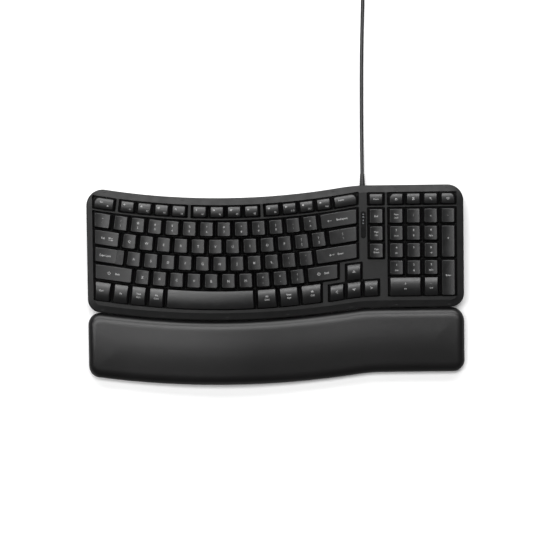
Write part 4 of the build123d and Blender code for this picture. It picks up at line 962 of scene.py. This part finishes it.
# node, icon, x, y and turn in degrees
arrows = (
    ("up_arrow_key", "up", places["arrowX"], 14.15, 6.5),
    ("left_arrow_key", "left", places["arrowX"] - deck["pitch"], -8.35, 8.5),
    ("down_arrow_key", "down", places["arrowX"], -5.65, 6.5),
    ("right_arrow_key", "right", places["arrowX"] + deck["pitch"], -4.15, 3.5),
)
navigationMarks = ([("End", 0, 0, 2.6)], twoLines("Page", "Up"), twoLines("Page", "Down"))
padTopMarks = (
    twoLines("Num", "Lock", size=2.4),
    [("/", 0, 0.4, 3.0)],
    [("*", 0, -0.8, 3.6)],
    [("-", 0, 0.4, 3.6)],
)
padDigits = (
    ("7", "Home"), ("8", "upArrow"), ("9", "PgUp"),
    ("4", "leftArrow"), ("5", ""), ("6", "rightArrow"),
    ("1", "End"), ("2", "downArrow"), ("3", "PgDn"),
)


def lowLegends():
    # the low rear row: escape, three groups of four, delete
    pitch, rowY, depth, crown = deck["pitch"], places["lowY"], caps["lowDepth"], caps["lowCrown"]
    escape = keyOnArc(rowY, alongArc(deck["leftX"]), places["escapeEnd"] * pitch, depth, crown)
    delete = keyOnArc(rowY, places["deleteStart"] * pitch, alongArc(deck["rightX"]), depth, crown)
    putLegends("escape_key", [(escape, [("Esc", -2.6, 1.6, 2.6), ("lock", 4.6, -1.6, 0.9)])])
    putLegends("delete_key", [(delete, [("Delete", -4.6, 1.8, 2.4)])])
    for (node, labels), start in zip(lowLabels, places["lowStarts"]):
        entries = []
        for step, (icon, text) in enumerate(labels):
            left = (start + step) * pitch
            key = keyOnArc(rowY, left, left + pitch, depth, crown)
            entries.append((key, [(icon, -3.4, 2.2, iconSize), (text, 3.4, -2.6, smallSize)]))
        putLegends(node, entries)


def typingLegends():
    # keys one pitch wide, with a wider key at either end of each row
    pitch = deck["pitch"]
    for row, (start, node, labels, leftEnd, rightEnd, endX) in enumerate(typingRows):
        rowY = places["numberY"] - pitch * row
        (leftNode, leftMarks), (rightNode, rightMarks) = leftEnd, rightEnd
        entries = []
        for step, label in enumerate(labels):
            left = (start + step) * pitch
            marks = pair(*label) if len(label) == 2 else [(label, 0, -0.2, letterSize)]
            entries.append((keyOnArc(rowY, left, left + pitch), marks))
        leftKey = [(keyOnArc(rowY, alongArc(deck["leftX"]), start * pitch), leftMarks)]
        if leftNode == node:
            entries = leftKey + entries
        else:
            putLegends(leftNode, leftKey)
        putLegends(node, entries)
        rightStart = (start + len(labels)) * pitch
        putLegends(rightNode, [(keyOnArc(rowY, rightStart, alongArc(endX)), rightMarks)])


def thumbLegends():
    # the front row of the bow, apart from the plain space bar
    pitch, depth = deck["pitch"], caps["thumbDepth"]
    rowY = places["numberY"] - pitch * 3

    def thumbKey(left, right, marks):
        return (keyOnArc(rowY, left, right, depth, caps["thumbCrown"], -pitch / 2 - depth / 2), marks)

    first, *bounds = [share * pitch for share in places["thumbBounds"]]
    rightBounds = [share * pitch for share in places["thumbRightBounds"]]
    labels = ([("Fn", 0, 0.2, wordSize)], startMarks, altMarks)
    putLegends("left_control_key", [thumbKey(alongArc(deck["leftX"]), first, [("Ctrl", 0, 0.6, wordSize)])])
    putLegends("left_modifier_keys", [thumbKey(*span) for span in zip([first, *bounds], bounds, labels)])
    putLegends("right_modifier_keys",
               [thumbKey(*span) for span in zip(rightBounds, rightBounds[1:], (altMarks, startMarks))])
    control = [("page", 0, 2.6, 1.2), ("Ctrl", 0, -1.6, twoLineSize)]
    putLegends("right_control_key", [thumbKey(rightBounds[-1], alongArc(places["controlEndX"]), control)])


def blockLegends():
    # the arrows, the navigation column, the hot keys and the numeric pad
    pitch, depth, crown = deck["pitch"], caps["thumbDepth"], caps["thumbCrown"]
    low, lowCrown = caps["lowDepth"], caps["lowCrown"]
    for node, icon, x, y, turn in arrows:
        putLegends(node, [(keyAt(x, y, crown=crown, turn=turn), [(icon, 0, 0.4, 1.5)])])
    columns = [places["padX"] + pitch * step for step in range(4)]
    rows = [places["padY"] - pitch * step for step in range(4)]
    home = keyAt(places["navigationX"], places["hotY"], depth=low, crown=lowCrown)
    putLegends("home_key", [(home, [("Home", 0, 0, smallSize)])])
    putLegends("navigation_keys",
               [(keyAt(places["navigationX"], y), marks) for y, marks in zip(rows, navigationMarks)])
    putLegends("hot_keys", [(keyAt(x, places["hotY"], depth=low, crown=lowCrown), [(icon, 0, 0, 1.3)])
                            for x, icon in zip(columns, ("lock", "calculator", "mutedVoice", "desktop"))])
    putLegends("numpad_top_keys", [(keyAt(x, rows[0]), marks) for x, marks in zip(columns, padTopMarks)])
    digits = []
    for index, (number, lower) in enumerate(padDigits):
        marks = [(number, 0, 3.2, 3.2)]
        if lower:
            marks.append((lower, 0, -2.9, 1.2 if lower in icons else 2.1))
        digits.append((keyAt(columns[index % 3], rows[1 + index // 3]), marks))
    putLegends("numpad_digit_keys", digits)
    putLegends("numpad_plus_key", [(keyAt(columns[3], (rows[1] + rows[2]) / 2), [("+", 0, 3.4, 3.4)])])
    frontRear = rows[3] - pitch / 2
    putLegends("numpad_enter_key", [(keyAt(columns[3], frontRear - 1.7), [("Enter", 0, 2.2, twoLineSize)])])
    zero = keyAt(places["padX"] + pitch / 2, frontRear - depth / 2, 2, depth, crown)
    point = keyAt(columns[2], frontRear - depth / 2, 1, depth, crown)
    putLegends("numpad_zero_key", [(zero, [("0", 0, 3.0, 3.0), ("Ins", 0, -2.6, 2.2)])])
    putLegends("numpad_point_key", [(point, [(".", 0, 3.4, 3.4), ("Del", 0, -2.0, 2.4)])])


lowLegends()
typingLegends()
thumbLegends()
blockLegends()
print("legends set")


# Lamp marks: small lit marks on the smoked window, one over each lamp
lamps = {
    "x": 97.45,
    "firstY": 77.85,
    "step": 3.46,
    "rise": 0.18,
    "size": 0.8,
    "marks": ("lock", "bright", "downArrow", "right"),
}


def makeLampMarks():
    def placeAt(y):
        return lambda local: deckToWorld(lamps["x"] + local[:, 0], y + local[:, 1],
                                         deck["topLevel"] + lamps["rise"] + local[:, 2])

    entries = [(placeAt(lamps["firstY"] - lamps["step"] * step), [(mark, 0, 0, lamps["size"])])
               for step, mark in enumerate(lamps["marks"])]
    inkPiece("lampIcons", "keyboard", lampInk, entries)


makeLampMarks()
print("lamp marks set")
